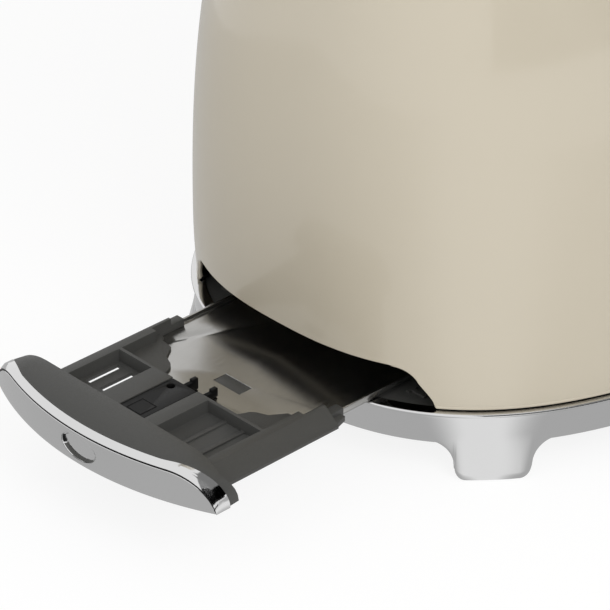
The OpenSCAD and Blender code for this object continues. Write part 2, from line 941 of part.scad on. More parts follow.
deck_back = 47;
arm_inner = 32.2;
arm_end = 61.4;
edge_height = 1.4;
ledge_height = 2.2;
clip_front = 68.5;
clip_back = 75;
clip_inner = 34.5;
clip_outer = 37.8;
clip_height = 3.7;
clip_grip = 2;
plate_front = 45;
plate_z = tray_z + sheet;
pocket_floor = 1.2;
pocket_wall = 1.2;
pocket_front = 21;
pocket_back = deck_back - pocket_wall;
left_pocket = [17, arm_inner];
right_pocket = [-arm_inner, -8.8];
rib_height = 0.6;
latch_y = 2.7;
latch_half = 5.3;
latch_front = 23;
latch_gap = 0.4;
latch_sink = 0.3;
latch_hole = [43.4, 5.3];
slot_front = 31;
slot_back = 44;
slot_places = [[22.2, 24.5], [28.8, 31]];
pad_front = 60;
pad_back_end = 65.2;
pad_sides = [-7.4, 4.4];
rivet_x = 58;
rivet_y = 34.4;
rivet_radius = 1.5;
rivet_high = 3.6;

// One half of the carrier's plan, whose rear edge is scalloped behind the pockets.
carrier_side = [[flange_depth - 1, 0], [flange_depth - 1, carrier_half], [clip_front - 0.7, carrier_half],
    [clip_back - 1.2, carrier_half - 1.7], [clip_back - 1.2, clip_inner], [65.4, clip_inner], [64.6, 32.6],
    [63.2, 31.6], [62.4, 26.6], [57.4, 23.2], [55.9, 19.6], [54.6, 18], [51.4, 16.6], [deck_back, 14],
    [deck_back, 0]];
module carrier_plan() {
    polygon(carrier_side);
    mirror([0, 1, 0])
        polygon(carrier_side);
}
// The carrier's cross section, with sloping sides, up to a given height.
module carrier_section(high) {
    intersection() {
        polygon([[-carrier_half, 0], [carrier_half, 0], [carrier_half, edge_height],
            [deck_half, deck_height], [-deck_half, deck_height], [-carrier_half, edge_height]]);
        translate([-carrier_half, 0])
            square([2 * carrier_half, high]);
    }
}
module carrier_part(high) {
    intersection() {
        translate([0, 0, tray_z])
            linear_extrude(deck_height)
                children();
        along_x(0, clip_back)
            translate([0, base_top])
                carrier_section(high);
    }
}
module carrier_body() {
    carrier_part(ledge_height)
        carrier_plan();
    carrier_part(deck_height)
        translate([flange_depth - 1, -carrier_half])
            square([deck_back - flange_depth + 1, 2 * carrier_half]);
    both_sides()
        carrier_part(deck_height)
            translate([flange_depth, arm_inner])
                square([arm_end - flange_depth, carrier_half - arm_inner]);
    both_sides()
        carrier_part(deck_height)
            translate([arm_end - over, clip_inner])
                square([clip_front - arm_end + 2 * over, carrier_half - clip_inner]);
    both_sides()
        block([clip_front, clip_inner, tray_z], [clip_back, clip_outer, base_top + clip_height]);
}
module pocket(sides, front, back) {
    block([front, sides[0], tray_z + pocket_floor], [back, sides[1], tray_z + deck_height + over]);
}
module tray_carrier() {
    color([0.35, 0.35, 0.34])
    union() {
        carrier_flange();
        translate([front_x, 0, 0])
            difference() {
                carrier_body();
                block([plate_front - slip, -plate_half - touch, tray_z - over],
                    [clip_back + over, plate_half + touch, plate_z]);
                both_sides()
                    block([clip_back - clip_grip - slip, plate_half - sheet - touch, tray_z],
                        [clip_back + over, plate_half + touch, tray_z + plate_flange + touch]);
                pocket(left_pocket, pocket_front, pocket_back);
                pocket(right_pocket, pocket_front, pocket_back);
                pocket([latch_y - latch_half - latch_gap, latch_y + latch_half + latch_gap],
                    latch_front - latch_gap, deck_back + over);
                for (p = slot_places)
                    block([slot_front, p[0], tray_z - over],
                        [slot_back, p[1], tray_z + pocket_floor + over]);
                both_sides()
                    translate([rivet_x, rivet_y, tray_z - over])
                        cylinder(h = rivet_high + over, r = rivet_radius);
            }
        for (share = [1, 2])
            translate([front_x, right_pocket[0] + share * (right_pocket[1] - right_pocket[0]) / 3, tray_z])
                block([pocket_front - over, -0.8, pocket_floor - touch],
                    [pocket_back + pocket_wall / 2, 0.8, pocket_floor + rib_height]);
    }
}
module tray_screws() {
    color([0.7, 0.7, 0.7])
    both_sides()
        translate([front_x + rivet_x, rivet_y, tray_z])
            cylinder(h = rivet_high, r = rivet_radius);
}
module tray_latch() {
    color([0.1, 0.1, 0.1])
    translate([front_x, 0, tray_z + pocket_floor])
        difference() {
            block([latch_front, latch_y - latch_half, 0],
                [deck_back, latch_y + latch_half, deck_height - tray_gap - pocket_floor - latch_sink]);
            translate([latch_hole[0], latch_hole[1], -over])
                cylinder(h = deck_height, r = 1.3);
        }
}
// Two blades behind the latch, each with an upright tip.
hook_low = 1.5;
hook_sheet = 1.6;
hook_tip = 2.4;
module hook(y, reach, high, top) {
    block([0, y, hook_low], [reach, y + hook_sheet, high]);
    block([reach - hook_tip, y, hook_low], [reach, y + hook_sheet, top]);
}
module tray_hooks() {
    color([0.12, 0.12, 0.12])
    translate([front_x + deck_back, 0, base_top]) {
        hook(3.2, 5.9, 4.7, 5.5);
        hook(-4.1, 7.3, 3.7, 4.6);
    }
}
module crumb_plate() {
    color([0.8, 0.8, 0.8])
    translate([front_x, 0, tray_z])
        difference() {
            union() {
                block([plate_front, -plate_half, 0], [tray_length, plate_half, sheet]);
                both_sides()
                    block([clip_back - clip_grip, plate_half - sheet, 0],
                        [tray_length, plate_half, plate_flange]);
                block([tray_length - sheet, -plate_half, 0], [tray_length, plate_half, plate_flange]);
            }
            block([pad_front, pad_sides[0], -over], [pad_back_end, pad_sides[1], sheet + over]);
            both_sides()
                translate([rivet_x, rivet_y, -over])
                    cylinder(h = sheet + 2 * over, r = rivet_radius);
        }
}
// A dark pad fills the window in the crumb plate.
module plate_pad() {
    color([0.12, 0.12, 0.12])
    translate([front_x, 0, tray_z])
        block([pad_front, pad_sides[0], 0], [pad_back_end, pad_sides[1], sheet - 0.2]);
}
guide_gap = 1;
guide_wall = 3.4;
guide_height = 8.5;
guide_front = -128;
guide_back = 76;
guide_y = carrier_half + guide_gap;
guide_high = base_top + guide_height;
lip_front = -70;
lip_gap = 0.7;
lip_thickness = 2;
module tray_guide() {
    color([0.16, 0.16, 0.17])
    union() {
        block([guide_front, guide_y, floor_z], [guide_back, guide_y + guide_wall, guide_high]);
        block([lip_front, plate_half + lip_gap, guide_high - lip_thickness],
            [guide_back, guide_y + over, guide_high]);
    }
}
module left_tray_guide() {
    tray_guide();
}
module right_tray_guide() {
    mirror([0, 1, 0])
        tray_guide();
}
striker_y = 0.4;
striker_radius = 1.6;
striker_half = 3;
striker_sheet = 1.6;
striker_rise = 3.2;
striker_foot = 8;
striker_gap = 6;
striker_x = -half_len + deck_back + striker_gap;
module latch_striker() {
    color([0.6, 0.6, 0.6])
    union() {
        translate([striker_x, striker_y, base_top + striker_rise])
            cylinder(h = arch_top - base_top - striker_rise, r = striker_radius);
        block([striker_x - striker_half, striker_y - striker_half, arch_top - striker_sheet],
            [-end_x - end_sheet, striker_y + striker_half, arch_top]);
        block([-end_x - end_sheet - striker_sheet, striker_y - striker_half, arch_top - striker_sheet],
            [-end_x - end_sheet, striker_y + striker_half, arch_top + striker_foot]);
    }
}

base_ring();
base_plate();
foot_pads();
base_seal();
outer_shell();
top_plate();
left_slot_collar();
right_slot_collar();
front_end_plate();
rear_end_plate();
left_reflector();
right_reflector();
heater_outer_left();
heater_inner_left();
heater_inner_right();
heater_outer_right();
heater_wires();
guide_rods();
return_springs();
electromagnet();
circuit_board();
potentiometer();
switches();
control_panel();
dial_ring();
cord_gland();
left_tray_guide();
right_tray_guide();
latch_striker();
base_screws();
chassis_screws();
carriage_bracket();
left_lifter();
right_lifter();
lever_arm();
lever_knob();
catch_plate();
guard_outer_left();
guard_inner_left();
guard_inner_right();
guard_outer_right();
dial_knob();
dial_shaft();
button_bagel();
button_defrost();
button_reheat();
button_cancel();
tray_front_cap();
tray_push_pad();
tray_carrier();
tray_latch();
tray_hooks();
crumb_plate();
plate_pad();
tray_screws();
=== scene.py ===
# %% [markdown]
# # A pop-up toaster with its crumb tray drawn out
# The frame holds the solids of the part at their real size. This lesson dresses them: it gives
# each piece its finish, and rebuilds the pieces whose curves and rounded edges matter most.

import json
import math
from functools import partial

import bmesh
import bpy
from mathutils import Matrix, Vector


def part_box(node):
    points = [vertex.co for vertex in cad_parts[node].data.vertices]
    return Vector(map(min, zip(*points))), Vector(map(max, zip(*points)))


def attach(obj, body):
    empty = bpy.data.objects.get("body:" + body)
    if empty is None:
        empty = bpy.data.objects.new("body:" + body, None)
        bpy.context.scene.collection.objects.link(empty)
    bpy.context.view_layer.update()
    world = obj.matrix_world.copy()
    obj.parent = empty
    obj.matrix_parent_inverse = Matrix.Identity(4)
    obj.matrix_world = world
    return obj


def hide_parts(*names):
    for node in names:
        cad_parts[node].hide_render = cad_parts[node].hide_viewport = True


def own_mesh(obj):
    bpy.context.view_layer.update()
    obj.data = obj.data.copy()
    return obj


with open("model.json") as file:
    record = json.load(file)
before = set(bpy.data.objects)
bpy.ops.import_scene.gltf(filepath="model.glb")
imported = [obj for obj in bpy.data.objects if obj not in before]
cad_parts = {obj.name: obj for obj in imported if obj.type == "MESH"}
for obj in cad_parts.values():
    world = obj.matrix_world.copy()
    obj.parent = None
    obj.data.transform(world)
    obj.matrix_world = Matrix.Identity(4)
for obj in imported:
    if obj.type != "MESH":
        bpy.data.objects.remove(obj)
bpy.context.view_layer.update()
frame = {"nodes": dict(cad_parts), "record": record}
MM = 0.001

# %% [markdown]
# ## Sizes
# The body follows one rule: its plan outline is a superellipse, which is drawn in towards the
# shoulders. Every piece that meets the body reads its sizes from the same few values, and those
# come from the boxes of the solids.

# %% Sizes read from the solids
ring_low_corner, ring_top_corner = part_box("base_ring")
shell_low_corner, shell_top_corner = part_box("outer_shell")
BEAD_OUT = 1 * MM
HALF_LENGTH = ring_top_corner.x - BEAD_OUT
HALF_WIDTH = ring_top_corner.y - BEAD_OUT
RING_TOP = ring_top_corner.z
SHELL_LOW = shell_low_corner.z
SHELL_TOP = shell_top_corner.z
PLAN_POWER = 2.55
WIDEST_Z = 47 * MM
SHOULDER_IN = 40 * MM
SHOULDER_POWER = 2.3
HEM_TUCK = 1 * MM
print(f"body {2000 * HALF_LENGTH:.0f} by {2000 * HALF_WIDTH:.0f} mm, shell up to {1000 * SHELL_TOP:.0f} mm")

# %% The outline's rule
def wave(value):
    """One coordinate of a superellipse, from the sine or cosine of its turn."""
    return math.copysign(abs(value) ** (2 / PLAN_POWER), value)


def plan_point(turn, inset=0.0):
    """A point of the outline at a turn in radians, drawn in by inset."""
    x, y = wave(math.cos(turn)), wave(math.sin(turn))
    return Vector(((HALF_LENGTH - inset) * x, (HALF_WIDTH - inset) * y, 0))


def plan_x(y, inset=0.0):
    """How far along X the outline lies at a distance from the centre line."""
    share = min(1.0, abs(y) / (HALF_WIDTH - inset)) ** PLAN_POWER
    return (HALF_LENGTH - inset) * (1 - share) ** (1 / PLAN_POWER)


def skin_inset(z):
    """How far in the shell's skin lies at a height."""
    if z < WIDEST_Z:
        return HEM_TUCK * ((WIDEST_Z - z) / (WIDEST_Z - SHELL_LOW)) ** 2
    rise = min(1.0, (z - WIDEST_Z) / (SHELL_TOP - WIDEST_Z))
    return SHOULDER_IN * (1 - (1 - rise ** SHOULDER_POWER) ** (1 / SHOULDER_POWER))


print(f"at half height the skin lies {1000 * skin_inset(SHELL_TOP / 2):.1f} mm in")

# %% [markdown]
# ## Camera and studio
# The camera looks down on the end that the tray comes out of. A white world and a pale floor
# make the background. Diffuse rays see a dimmer one, which leaves the modelling to two soft lamps.

# %% Camera
AIM = Vector((-0.1245, 0.01873, 0.0233))
BACK = Vector((-0.59248, -0.62080, 0.51339)).normalized()
CAMERA_AWAY = 1.08974
SENSOR_WIDTH = 36
LENS = 200.66


def link(piece):
    """Puts an object in the scene and returns it."""
    bpy.context.scene.collection.objects.link(piece)
    return piece


camera_data = bpy.data.cameras.new("camera")
camera_data.sensor_width = SENSOR_WIDTH
camera_data.lens = LENS
camera = link(bpy.data.objects.new("camera", camera_data))
camera.location = AIM + CAMERA_AWAY * BACK
camera.rotation_euler = BACK.to_track_quat("Z", "Y").to_euler()
bpy.context.scene.camera = camera
print(f"the camera stands {CAMERA_AWAY:.2f} m away, {math.degrees(math.asin(BACK.z)):.0f} degrees up")

# %% Shader helpers
WHITE = (1, 1, 1, 1)


def shader_node(tree, kind, inputs=None, **settings):
    """Adds a node, sets its properties, then its inputs by name or number."""
    node = tree.nodes.new(kind)
    for key, value in settings.items():
        setattr(node, key, value)
    for key, value in (inputs or {}).items():
        socket = node.inputs[key]
        if isinstance(value, bpy.types.NodeSocket):
            tree.links.new(value, socket)
        else:
            socket.default_value = value
    return node


def calc(tree, operation, *values):
    """Adds one maths node and returns its result."""
    return shader_node(tree, "ShaderNodeMath", dict(enumerate(values)), operation=operation).outputs[0]


def ramp(tree, value, start, end, low, high, **settings):
    """Maps a value from one range to another."""
    inputs = {"Value": value, "From Min": start, "From Max": end, "To Min": low, "To Max": high}
    return shader_node(tree, "ShaderNodeMapRange", inputs, **settings).outputs[0]


def split(tree, value):
    """The three numbers of a vector."""
    return shader_node(tree, "ShaderNodeSeparateXYZ", {0: value}).outputs


def seen_rays(tree):
    """1 for the rays that see a thing: from the camera, through glass and off polished metal."""
    rays = shader_node(tree, "ShaderNodeLightPath").outputs
    seen = calc(tree, "MAXIMUM", rays["Is Camera Ray"], rays["Is Transmission Ray"])
    return calc(tree, "MAXIMUM", seen, rays["Is Glossy Ray"])


def srgb(*values):
    """A linear colour from the usual 0 to 255 values."""
    linear = [((v / 255 + 0.055) / 1.055) ** 2.4 if v > 10 else v / 255 / 12.92 for v in values]
    return (*linear, 1.0)


# %% World and lamps
WORLD_DIM = 0.54
LAMPS_AIM = Vector((-0.05, 0, 0.08))

world = bpy.data.worlds.new("studio")
bpy.context.scene.world = world
world.use_nodes = True
sky = world.node_tree
sky.nodes.clear()
level = ramp(sky, seen_rays(sky), 0.0, 1.0, WORLD_DIM, 1.0)
background = shader_node(sky, "ShaderNodeBackground", {"Color": WHITE, "Strength": level})
shader_node(sky, "ShaderNodeOutputWorld", {"Surface": background.outputs[0]})


def soft_lamp(name, place, power, width):
    """A square area lamp that faces the middle of the toaster."""
    data = bpy.data.lights.new(name, "AREA")
    data.energy = power
    data.shape = "SQUARE"
    data.size = width
    lamp = link(bpy.data.objects.new(name, data))
    lamp.location = place
    lamp.rotation_euler = (Vector(place) - LAMPS_AIM).to_track_quat("Z", "Y").to_euler()
    return lamp


soft_lamp("key", (-0.4, -1.15, 0.9), 8, 0.9)
soft_lamp("fill", (-1.1, -0.1, 0.5), 2.2, 1.0).visible_glossy = False
bpy.context.scene.view_settings.view_transform = "Standard"

# %% Floor
FLOOR_HALF = 6
FLOOR_WHITE = (0.93, 0.93, 0.93, 1)
FLOOR_GLOW = 1.05
GLOW_SEEN, GLOW_OTHERS = 0.62, 0.2


def plain_object(name, points, faces=()):
    """An object from its points and faces."""
    mesh = bpy.data.meshes.new(name)
    mesh.from_pydata([tuple(p) for p in points], [], faces)
    return link(bpy.data.objects.new(name, mesh))


def own_material(name, thing):
    """Gives an object a new material and returns its tree, which is still empty."""
    paint = bpy.data.materials.new(name)
    paint.use_nodes = True
    paint.node_tree.nodes.clear()
    thing.data.materials.append(paint)
    return paint.node_tree


def rectangle(left, right, near, far, z):
    """The corners of a level rectangle."""
    return [(left, near, z), (right, near, z), (right, far, z), (left, far, z)]


floor = plain_object("floor", rectangle(-FLOOR_HALF, FLOOR_HALF, -FLOOR_HALF, FLOOR_HALF, 0), [(0, 1, 2, 3)])
ground = own_material("floor_white", floor)
plain = shader_node(ground, "ShaderNodeBsdfDiffuse", {"Color": FLOOR_WHITE})
glow = shader_node(ground, "ShaderNodeEmission", {"Color": WHITE, "Strength": FLOOR_GLOW})
share = calc(ground, "MULTIPLY_ADD", seen_rays(ground), GLOW_SEEN, GLOW_OTHERS)
blend = shader_node(ground, "ShaderNodeMixShader", {"Fac": share, 1: plain.outputs[0], 2: glow.outputs[0]})
shader_node(ground, "ShaderNodeOutputMaterial", {"Surface": blend.outputs[0]})

# %% [markdown]
# ## Cards for the reflections
# Polished metal looks like what stands round it, and in an all-white room it would look like
# paper. So black and grey cards stand round the tray, and only glossy rays see them.

# %% Cards that only reflections see
SCREEN_AWAY = 1.4
SCREEN_MIDDLE = (-0.22, -0.05, 0.03)


def card(name, points, faces, level):
    """A board of one even shade that shows in reflections alone."""
    board = plain_object(name, points, faces)
    paint = own_material(name, board)
    shade = shader_node(paint, "ShaderNodeEmission", {"Color": WHITE, "Strength": level})
    shader_node(paint, "ShaderNodeOutputMaterial", {"Surface": shade.outputs[0]})
    board.visible_camera = board.visible_diffuse = board.visible_shadow = board.visible_transmission = False
    return board


def screen(name, turns, heights, level, steps=12):
    """A curved card round the tray, between two headings and two elevations in degrees."""
    points = []
    for up in map(math.radians, heights):
        for i in range(steps + 1):
            turn = math.radians(turns[0] + (turns[1] - turns[0]) * i / steps)
            heading = (math.cos(up) * math.cos(turn), math.cos(up) * math.sin(turn), math.sin(up))
            points.append([middle + SCREEN_AWAY * part for middle, part in zip(SCREEN_MIDDLE, heading)])
    return card(name, points, [(i, i + 1, steps + 2 + i, steps + 1 + i) for i in range(steps)], level)


def soften(board, middle, aim, half, soft, bright):
    """Brightens a flat board inside a wedge that opens from a point, with soft edges."""
    tree = board.active_material.node_tree
    strength = tree.nodes["Emission"].inputs["Strength"]
    place = shader_node(tree, "ShaderNodeTexCoord").outputs["Object"]
    offset = shader_node(tree, "ShaderNodeVectorMath", {0: place, 1: middle}, operation="SUBTRACT")
    turned = shader_node(tree, "ShaderNodeVectorRotate",
                         {"Vector": offset.outputs[0], "Angle": -aim}, rotation_type="Z_AXIS")
    x, y, _ = split(tree, turned.outputs[0])
    turn = calc(tree, "ABSOLUTE", calc(tree, "ARCTAN2", y, x))
    level = ramp(tree, turn, half - soft, half + soft, bright, strength.default_value,
                 interpolation_type="SMOOTHSTEP")
    tree.links.new(level, strength)


screen("black_card", (-124, -35), (-1, 30), 0.0)
screen("rear_card", (60, 112), (34, 68), 0.28)
screen("dark_card", (-125, -8), (30, 66), 0.25)
# The grey mat is painted floor shade that only reflections see: it darkens the floor round the toaster in
# polished metal, and stays bright inside a wedge off the near foot.
mat = card("reflected_floor_shade", rectangle(-0.7, 0.6, -0.45, 0.4, 0.0004), [(0, 1, 2, 3)], 0.53)
soften(mat, (-0.125, -0.062, 0), math.radians(-130), math.radians(31), math.radians(17), 1.0)

# %% [markdown]
# ## Finishes
# One shader group makes the small unevenness that every real surface has: a slow mottle that
# shifts colour and gloss, and a fine grain for the bump. Each finish places the group with its
# own values, because a moulded plastic, an enamel and a rolled steel differ mostly in these.

# %% The shared surface group
def make_surface_group():
    """Mottle and grain, read in Object coordinates so that they stay on the piece."""
    group = bpy.data.node_groups.new("surface_detail", "ShaderNodeTree")
    sockets = group.interface
    numbers = ["Shade", "Mottle scale", "Grain scale", "Gloss low", "Gloss high"]
    for direction, names in (("INPUT", numbers), ("OUTPUT", ["Roughness", "Height"])):
        sockets.new_socket("Colour", in_out=direction, socket_type="NodeSocketColor")
        for name in names:
            sockets.new_socket(name, in_out=direction, socket_type="NodeSocketFloat")
    sockets.new_socket("Stretch", in_out="INPUT", socket_type="NodeSocketVector")
    put_in = shader_node(group, "NodeGroupInput").outputs
    place = shader_node(group, "ShaderNodeTexCoord").outputs["Object"]
    mapped = shader_node(group, "ShaderNodeMapping", {"Vector": place, "Scale": put_in["Stretch"]})
    mottle, grain = [shader_node(group, "ShaderNodeTexNoise", {
        "Vector": mapped.outputs[0], "Scale": put_in[name], "Detail": detail}).outputs[0]
        for name, detail in (("Mottle scale", 3.0), ("Grain scale", 2.0))]
    shade = ramp(group, mottle, 0.3, 0.7, calc(group, "SUBTRACT", 1.0, put_in["Shade"]), 1.0)
    tinted = {0: put_in["Colour"], "Scale": shade}
    tint = shader_node(group, "ShaderNodeVectorMath", tinted, operation="SCALE")
    gloss = ramp(group, grain, 0.35, 0.65, put_in["Gloss low"], put_in["Gloss high"])
    shader_node(group, "NodeGroupOutput", {"Colour": tint.outputs[0], "Roughness": gloss, "Height": grain})
    return group


surface_group = make_surface_group()


def finish(name, colour, rough, shade=0.06, mottle=14.0, grain=900.0, bump=0.05, depth=0.0001,
           metallic=0.0, stretch=(1, 1, 1), coat=0.0, coat_rough=0.05, specular=0.5):
    """A material: colour and gloss with mottle, and a bump of fine grain."""
    material = bpy.data.materials.new(name)
    material.use_nodes = True
    tree = material.node_tree
    body = tree.nodes["Principled BSDF"]
    detail = shader_node(tree, "ShaderNodeGroup", node_tree=surface_group)
    for key, value in (("Colour", colour), ("Shade", shade), ("Mottle scale", mottle), ("Grain scale", grain),
                       ("Stretch", stretch), ("Gloss low", rough[0]), ("Gloss high", rough[1])):
        detail.inputs[key].default_value = value
    relief = shader_node(tree, "ShaderNodeBump",
                         {"Strength": bump, "Distance": depth, "Height": detail.outputs["Height"]})
    for key, source in (("Base Color", detail.outputs["Colour"]), ("Roughness", detail.outputs["Roughness"]),
                        ("Normal", relief.outputs[0])):
        tree.links.new(source, body.inputs[key])
    for key, value in (("Metallic", metallic), ("Coat Weight", coat), ("Coat Roughness", coat_rough),
                       ("Specular IOR Level", specular)):
        body.inputs[key].default_value = value
    return material


# %% The finishes
RECIPES = {
    "cream_enamel": dict(colour=srgb(198, 189, 170), rough=(0.3, 0.36), shade=0.01, mottle=5, grain=45,
                         bump=0.02, depth=0.0002, coat=0.7, coat_rough=0.08),
    "polished_chrome": dict(colour=(0.7, 0.7, 0.7, 1), rough=(0.07, 0.1), shade=0.03, mottle=20, grain=1500,
                            bump=0.01, metallic=1),
    "satin_steel": dict(colour=(0.56, 0.56, 0.56, 1), rough=(0.22, 0.34), shade=0.05, mottle=30, grain=700,
                        bump=0.04, metallic=1, stretch=(0.04, 1, 1)),
    "mirror_steel": dict(colour=(0.46, 0.455, 0.44, 1), rough=(0.19, 0.25), shade=0.04, mottle=18, grain=900,
                         bump=0.01, metallic=1, stretch=(0.2, 1, 1)),
    "plated_steel": dict(colour=(0.42, 0.43, 0.44, 1), rough=(0.3, 0.45), shade=0.12, mottle=40, grain=700,
                         metallic=1),
    "bright_wire": dict(colour=(0.5, 0.5, 0.51, 1), rough=(0.18, 0.28), shade=0.08, mottle=60, metallic=1),
    "grey_plastic": dict(colour=srgb(70, 70, 68), rough=(0.46, 0.56), shade=0.05, mottle=25, grain=2600,
                         bump=0.18),
    "dark_plastic": dict(colour=srgb(46, 46, 47), rough=(0.32, 0.42), shade=0.08, mottle=20, grain=2200,
                         bump=0.15),
    "black_plastic": dict(colour=srgb(17, 17, 17), rough=(0.34, 0.44), shade=0.1, mottle=30, grain=2400,
                          bump=0.12, specular=0.15),
    "mica": dict(colour=srgb(196, 184, 160), rough=(0.5, 0.65), shade=0.25, mottle=70, grain=500, bump=0.2,
                 stretch=(1, 1, 3)),
    "resistance_wire": dict(colour=(0.2, 0.17, 0.15, 1), rough=(0.4, 0.5), shade=0.2, mottle=80, metallic=1),
    "copper_coil": dict(colour=(0.6, 0.28, 0.12, 1), rough=(0.3, 0.4), grain=1200, bump=0.6, metallic=1,
                        stretch=(0.02, 0.02, 1)),
    "board_green": dict(colour=srgb(28, 92, 58), rough=(0.3, 0.4), shade=0.2, mottle=120, grain=900),
    "part_grey": dict(colour=srgb(92, 94, 92), rough=(0.4, 0.5)),
    "soft_rubber": dict(colour=srgb(38, 38, 38), rough=(0.7, 0.8), shade=0.12, grain=1600, bump=0.3),
}
FINISH = {name: finish(name, **recipe) for name, recipe in RECIPES.items()}
for part in frame["record"]["subparts"]:
    shown = frame["nodes"][part["node"]]
    shown.data.materials.clear()
    shown.data.materials.append(FINISH[part["material_slot"]])
SLOT_OF = {part["node"]: part["material_slot"] for part in frame["record"]["subparts"]}
BODY_OF = {node: body for body, nodes in frame["record"]["behaviour"]["bodies"].items() for node in nodes}
print(len(FINISH), "finishes on", len(SLOT_OF), "nodes")

# %% [markdown]
# ## Rounding the edges of a solid
# A moulded or pressed edge is never sharp: it has a small radius, and that radius catches the
# light. A copy of each solid that shows gets its loose triangles joined, its flat faces made
# whole and a small bevel, and then stands for the solid.

# %% Helpers for meshes
MERGE = 1e-6


def baked(piece):
    """What an object looks like with its modifiers or its text, as a plain mesh."""
    bpy.context.view_layer.update()
    return bpy.data.meshes.new_from_object(piece.evaluated_get(bpy.context.evaluated_depsgraph_get()))


def settle(piece):
    """Bakes all modifiers, so that the piece is a plain mesh."""
    mesh = baked(piece)
    piece.modifiers.clear()
    piece.data = mesh
    return piece


def drawn_mesh(name, curve):
    """The mesh of a curve or a text."""
    drawn = link(bpy.data.objects.new(name, curve))
    mesh = baked(drawn)
    bpy.data.objects.remove(drawn)
    return mesh


def dress(piece, body, slot, *nodes):
    """Gives a finished piece its material, its body and the solids that it stands for."""
    if not piece.data.materials:
        piece.data.materials.append(FINISH[slot])
    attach(piece, body)
    if nodes:
        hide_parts(*nodes)
    return piece


def smooth_by_angle(mesh, degrees=32):
    """Smooth shading, but for the edges that turn by more than the angle."""
    for polygon in mesh.polygons:
        polygon.use_smooth = True
    mesh.set_sharp_from_angle(angle=math.radians(degrees))


def joined_copy(node):
    """The solid's triangles as closed meshes."""
    shape = bmesh.new()
    shape.from_mesh(frame["nodes"][node].data)
    bmesh.ops.remove_doubles(shape, verts=shape.verts, dist=MERGE)
    return shape


def rounded(node, radius, segments=2):
    """A copy of a solid with whole flat faces and with its sharper edges rounded."""
    flat, sharp = math.radians(1), math.radians(35)
    shape = joined_copy(node)
    bmesh.ops.dissolve_limit(shape, angle_limit=flat, verts=shape.verts, edges=shape.edges)
    piece = plain_object(node + "_rounded", [])
    shape.to_mesh(piece.data)
    shape.free()
    bevel = piece.modifiers.new("bevel", "BEVEL")
    bevel.width = radius
    bevel.segments = segments
    bevel.limit_method = "ANGLE"
    bevel.angle_limit = sharp
    settle(piece)
    smooth_by_angle(piece.data)
    return dress(piece, BODY_OF[node], SLOT_OF[node], node)


def mesh_piece(name, points, faces, smooth=True):
    """A piece from its points and faces, with doubles merged and faces outwards."""
    piece = plain_object(name, points, faces)
    shape = bmesh.new()
    shape.from_mesh(piece.data)
    bmesh.ops.remove_doubles(shape, verts=shape.verts, dist=MERGE / 10)
    bmesh.ops.recalc_face_normals(shape, faces=shape.faces)
    shape.to_mesh(piece.data)
    shape.free()
    if smooth:
        smooth_by_angle(piece.data)
    return piece


def section_faces(rows, columns, ring=False):
    """The faces of a row of closed sections: a ring of them, or a bar with a face over each end."""
    found = []
    for row in range(rows if ring else rows - 1):
        here, below = row * columns, (row + 1) % rows * columns
        for i in range(columns):
            beside = (i + 1) % columns
            found.append((here + i, here + beside, below + beside, below + i))
    ends = [tuple(range(columns)), tuple(range((rows - 1) * columns, rows * columns))]
    return found if ring else found + ends


def arc_points(centre, radius, start, end, steps):
    """Points on an arc as pairs, from one angle in degrees to another."""
    turns = [math.radians(start + (end - start) * i / steps) for i in range(steps + 1)]
    return [(centre[0] + radius * math.cos(turn), centre[1] + radius * math.sin(turn)) for turn in turns]


def tube(name, path, radius, closed=False, sides=12):
    """A round bar along a path."""
    curve = bpy.data.curves.new(name, "CURVE")
    curve.dimensions = "3D"
    curve.bevel_depth = radius
    curve.bevel_resolution = sides // 4
    curve.use_fill_caps = True
    spline = curve.splines.new("POLY")
    spline.points.add(len(path) - 1)
    for point, place in zip(spline.points, path):
        point.co = (*place, 1)
    spline.use_cyclic_u = closed
    mesh = drawn_mesh(name, curve)
    smooth_by_angle(mesh, 60)
    return link(bpy.data.objects.new(name, mesh))


def cut(piece, *cutters):
    """Takes cutters out of a closed piece."""
    for cutter in cutters:
        boolean = piece.modifiers.new("cut", "BOOLEAN")
        boolean.operation = "DIFFERENCE"
        boolean.solver = "EXACT"
        boolean.object = cutter
    settle(piece)
    for cutter in cutters:
        bpy.data.objects.remove(cutter)


def prism_x(name, outline, start, end):
    """A closed prism along X from an outline of (y, z) pairs."""
    points = [(x, y, z) for x in (start, end) for y, z in outline]
    return mesh_piece(name, points, section_faces(2, len(outline)), smooth=False)


# %% [markdown]
# ## The outer shell
# The shell is one deep-drawn steel cover. Its shape follows a rule, so Geometry Nodes lay it
# out: a grid is bent round the superellipse, and its rows follow the curve of the shoulder.
# The same tree could serve another size of toaster, because each size is a named input.

# %% A small language for Geometry Nodes
SOCKETS = {float: "NodeSocketFloat", int: "NodeSocketInt", tuple: "NodeSocketVector"}


def maths(tree, *operations):
    """One short function for each operation, to write a tree's sums with."""
    return [partial(calc, tree, operation) for operation in operations]


def vector(tree, x=0.0, y=0.0, z=0.0):
    """Joins three numbers."""
    return shader_node(tree, "ShaderNodeCombineXYZ", {0: x, 1: y, 2: z}).outputs[0]


def position(tree):
    """The three numbers of each point's place."""
    return split(tree, shader_node(tree, "GeometryNodeInputPosition").outputs[0])


def new_tree(name, inputs):
    """An empty tree with a named input for each size, and one for the material."""
    tree = bpy.data.node_groups.new(name, "GeometryNodeTree")
    sockets = tree.interface
    sockets.new_socket("Geometry", in_out="INPUT", socket_type="NodeSocketGeometry")
    for label, value in inputs.items():
        socket = sockets.new_socket(label, in_out="INPUT", socket_type=SOCKETS[type(value)])
        socket.default_value = value
    sockets.new_socket("Material", in_out="INPUT", socket_type="NodeSocketMaterial")
    sockets.new_socket("Geometry", in_out="OUTPUT", socket_type="NodeSocketGeometry")
    return tree, shader_node(tree, "NodeGroupInput").outputs


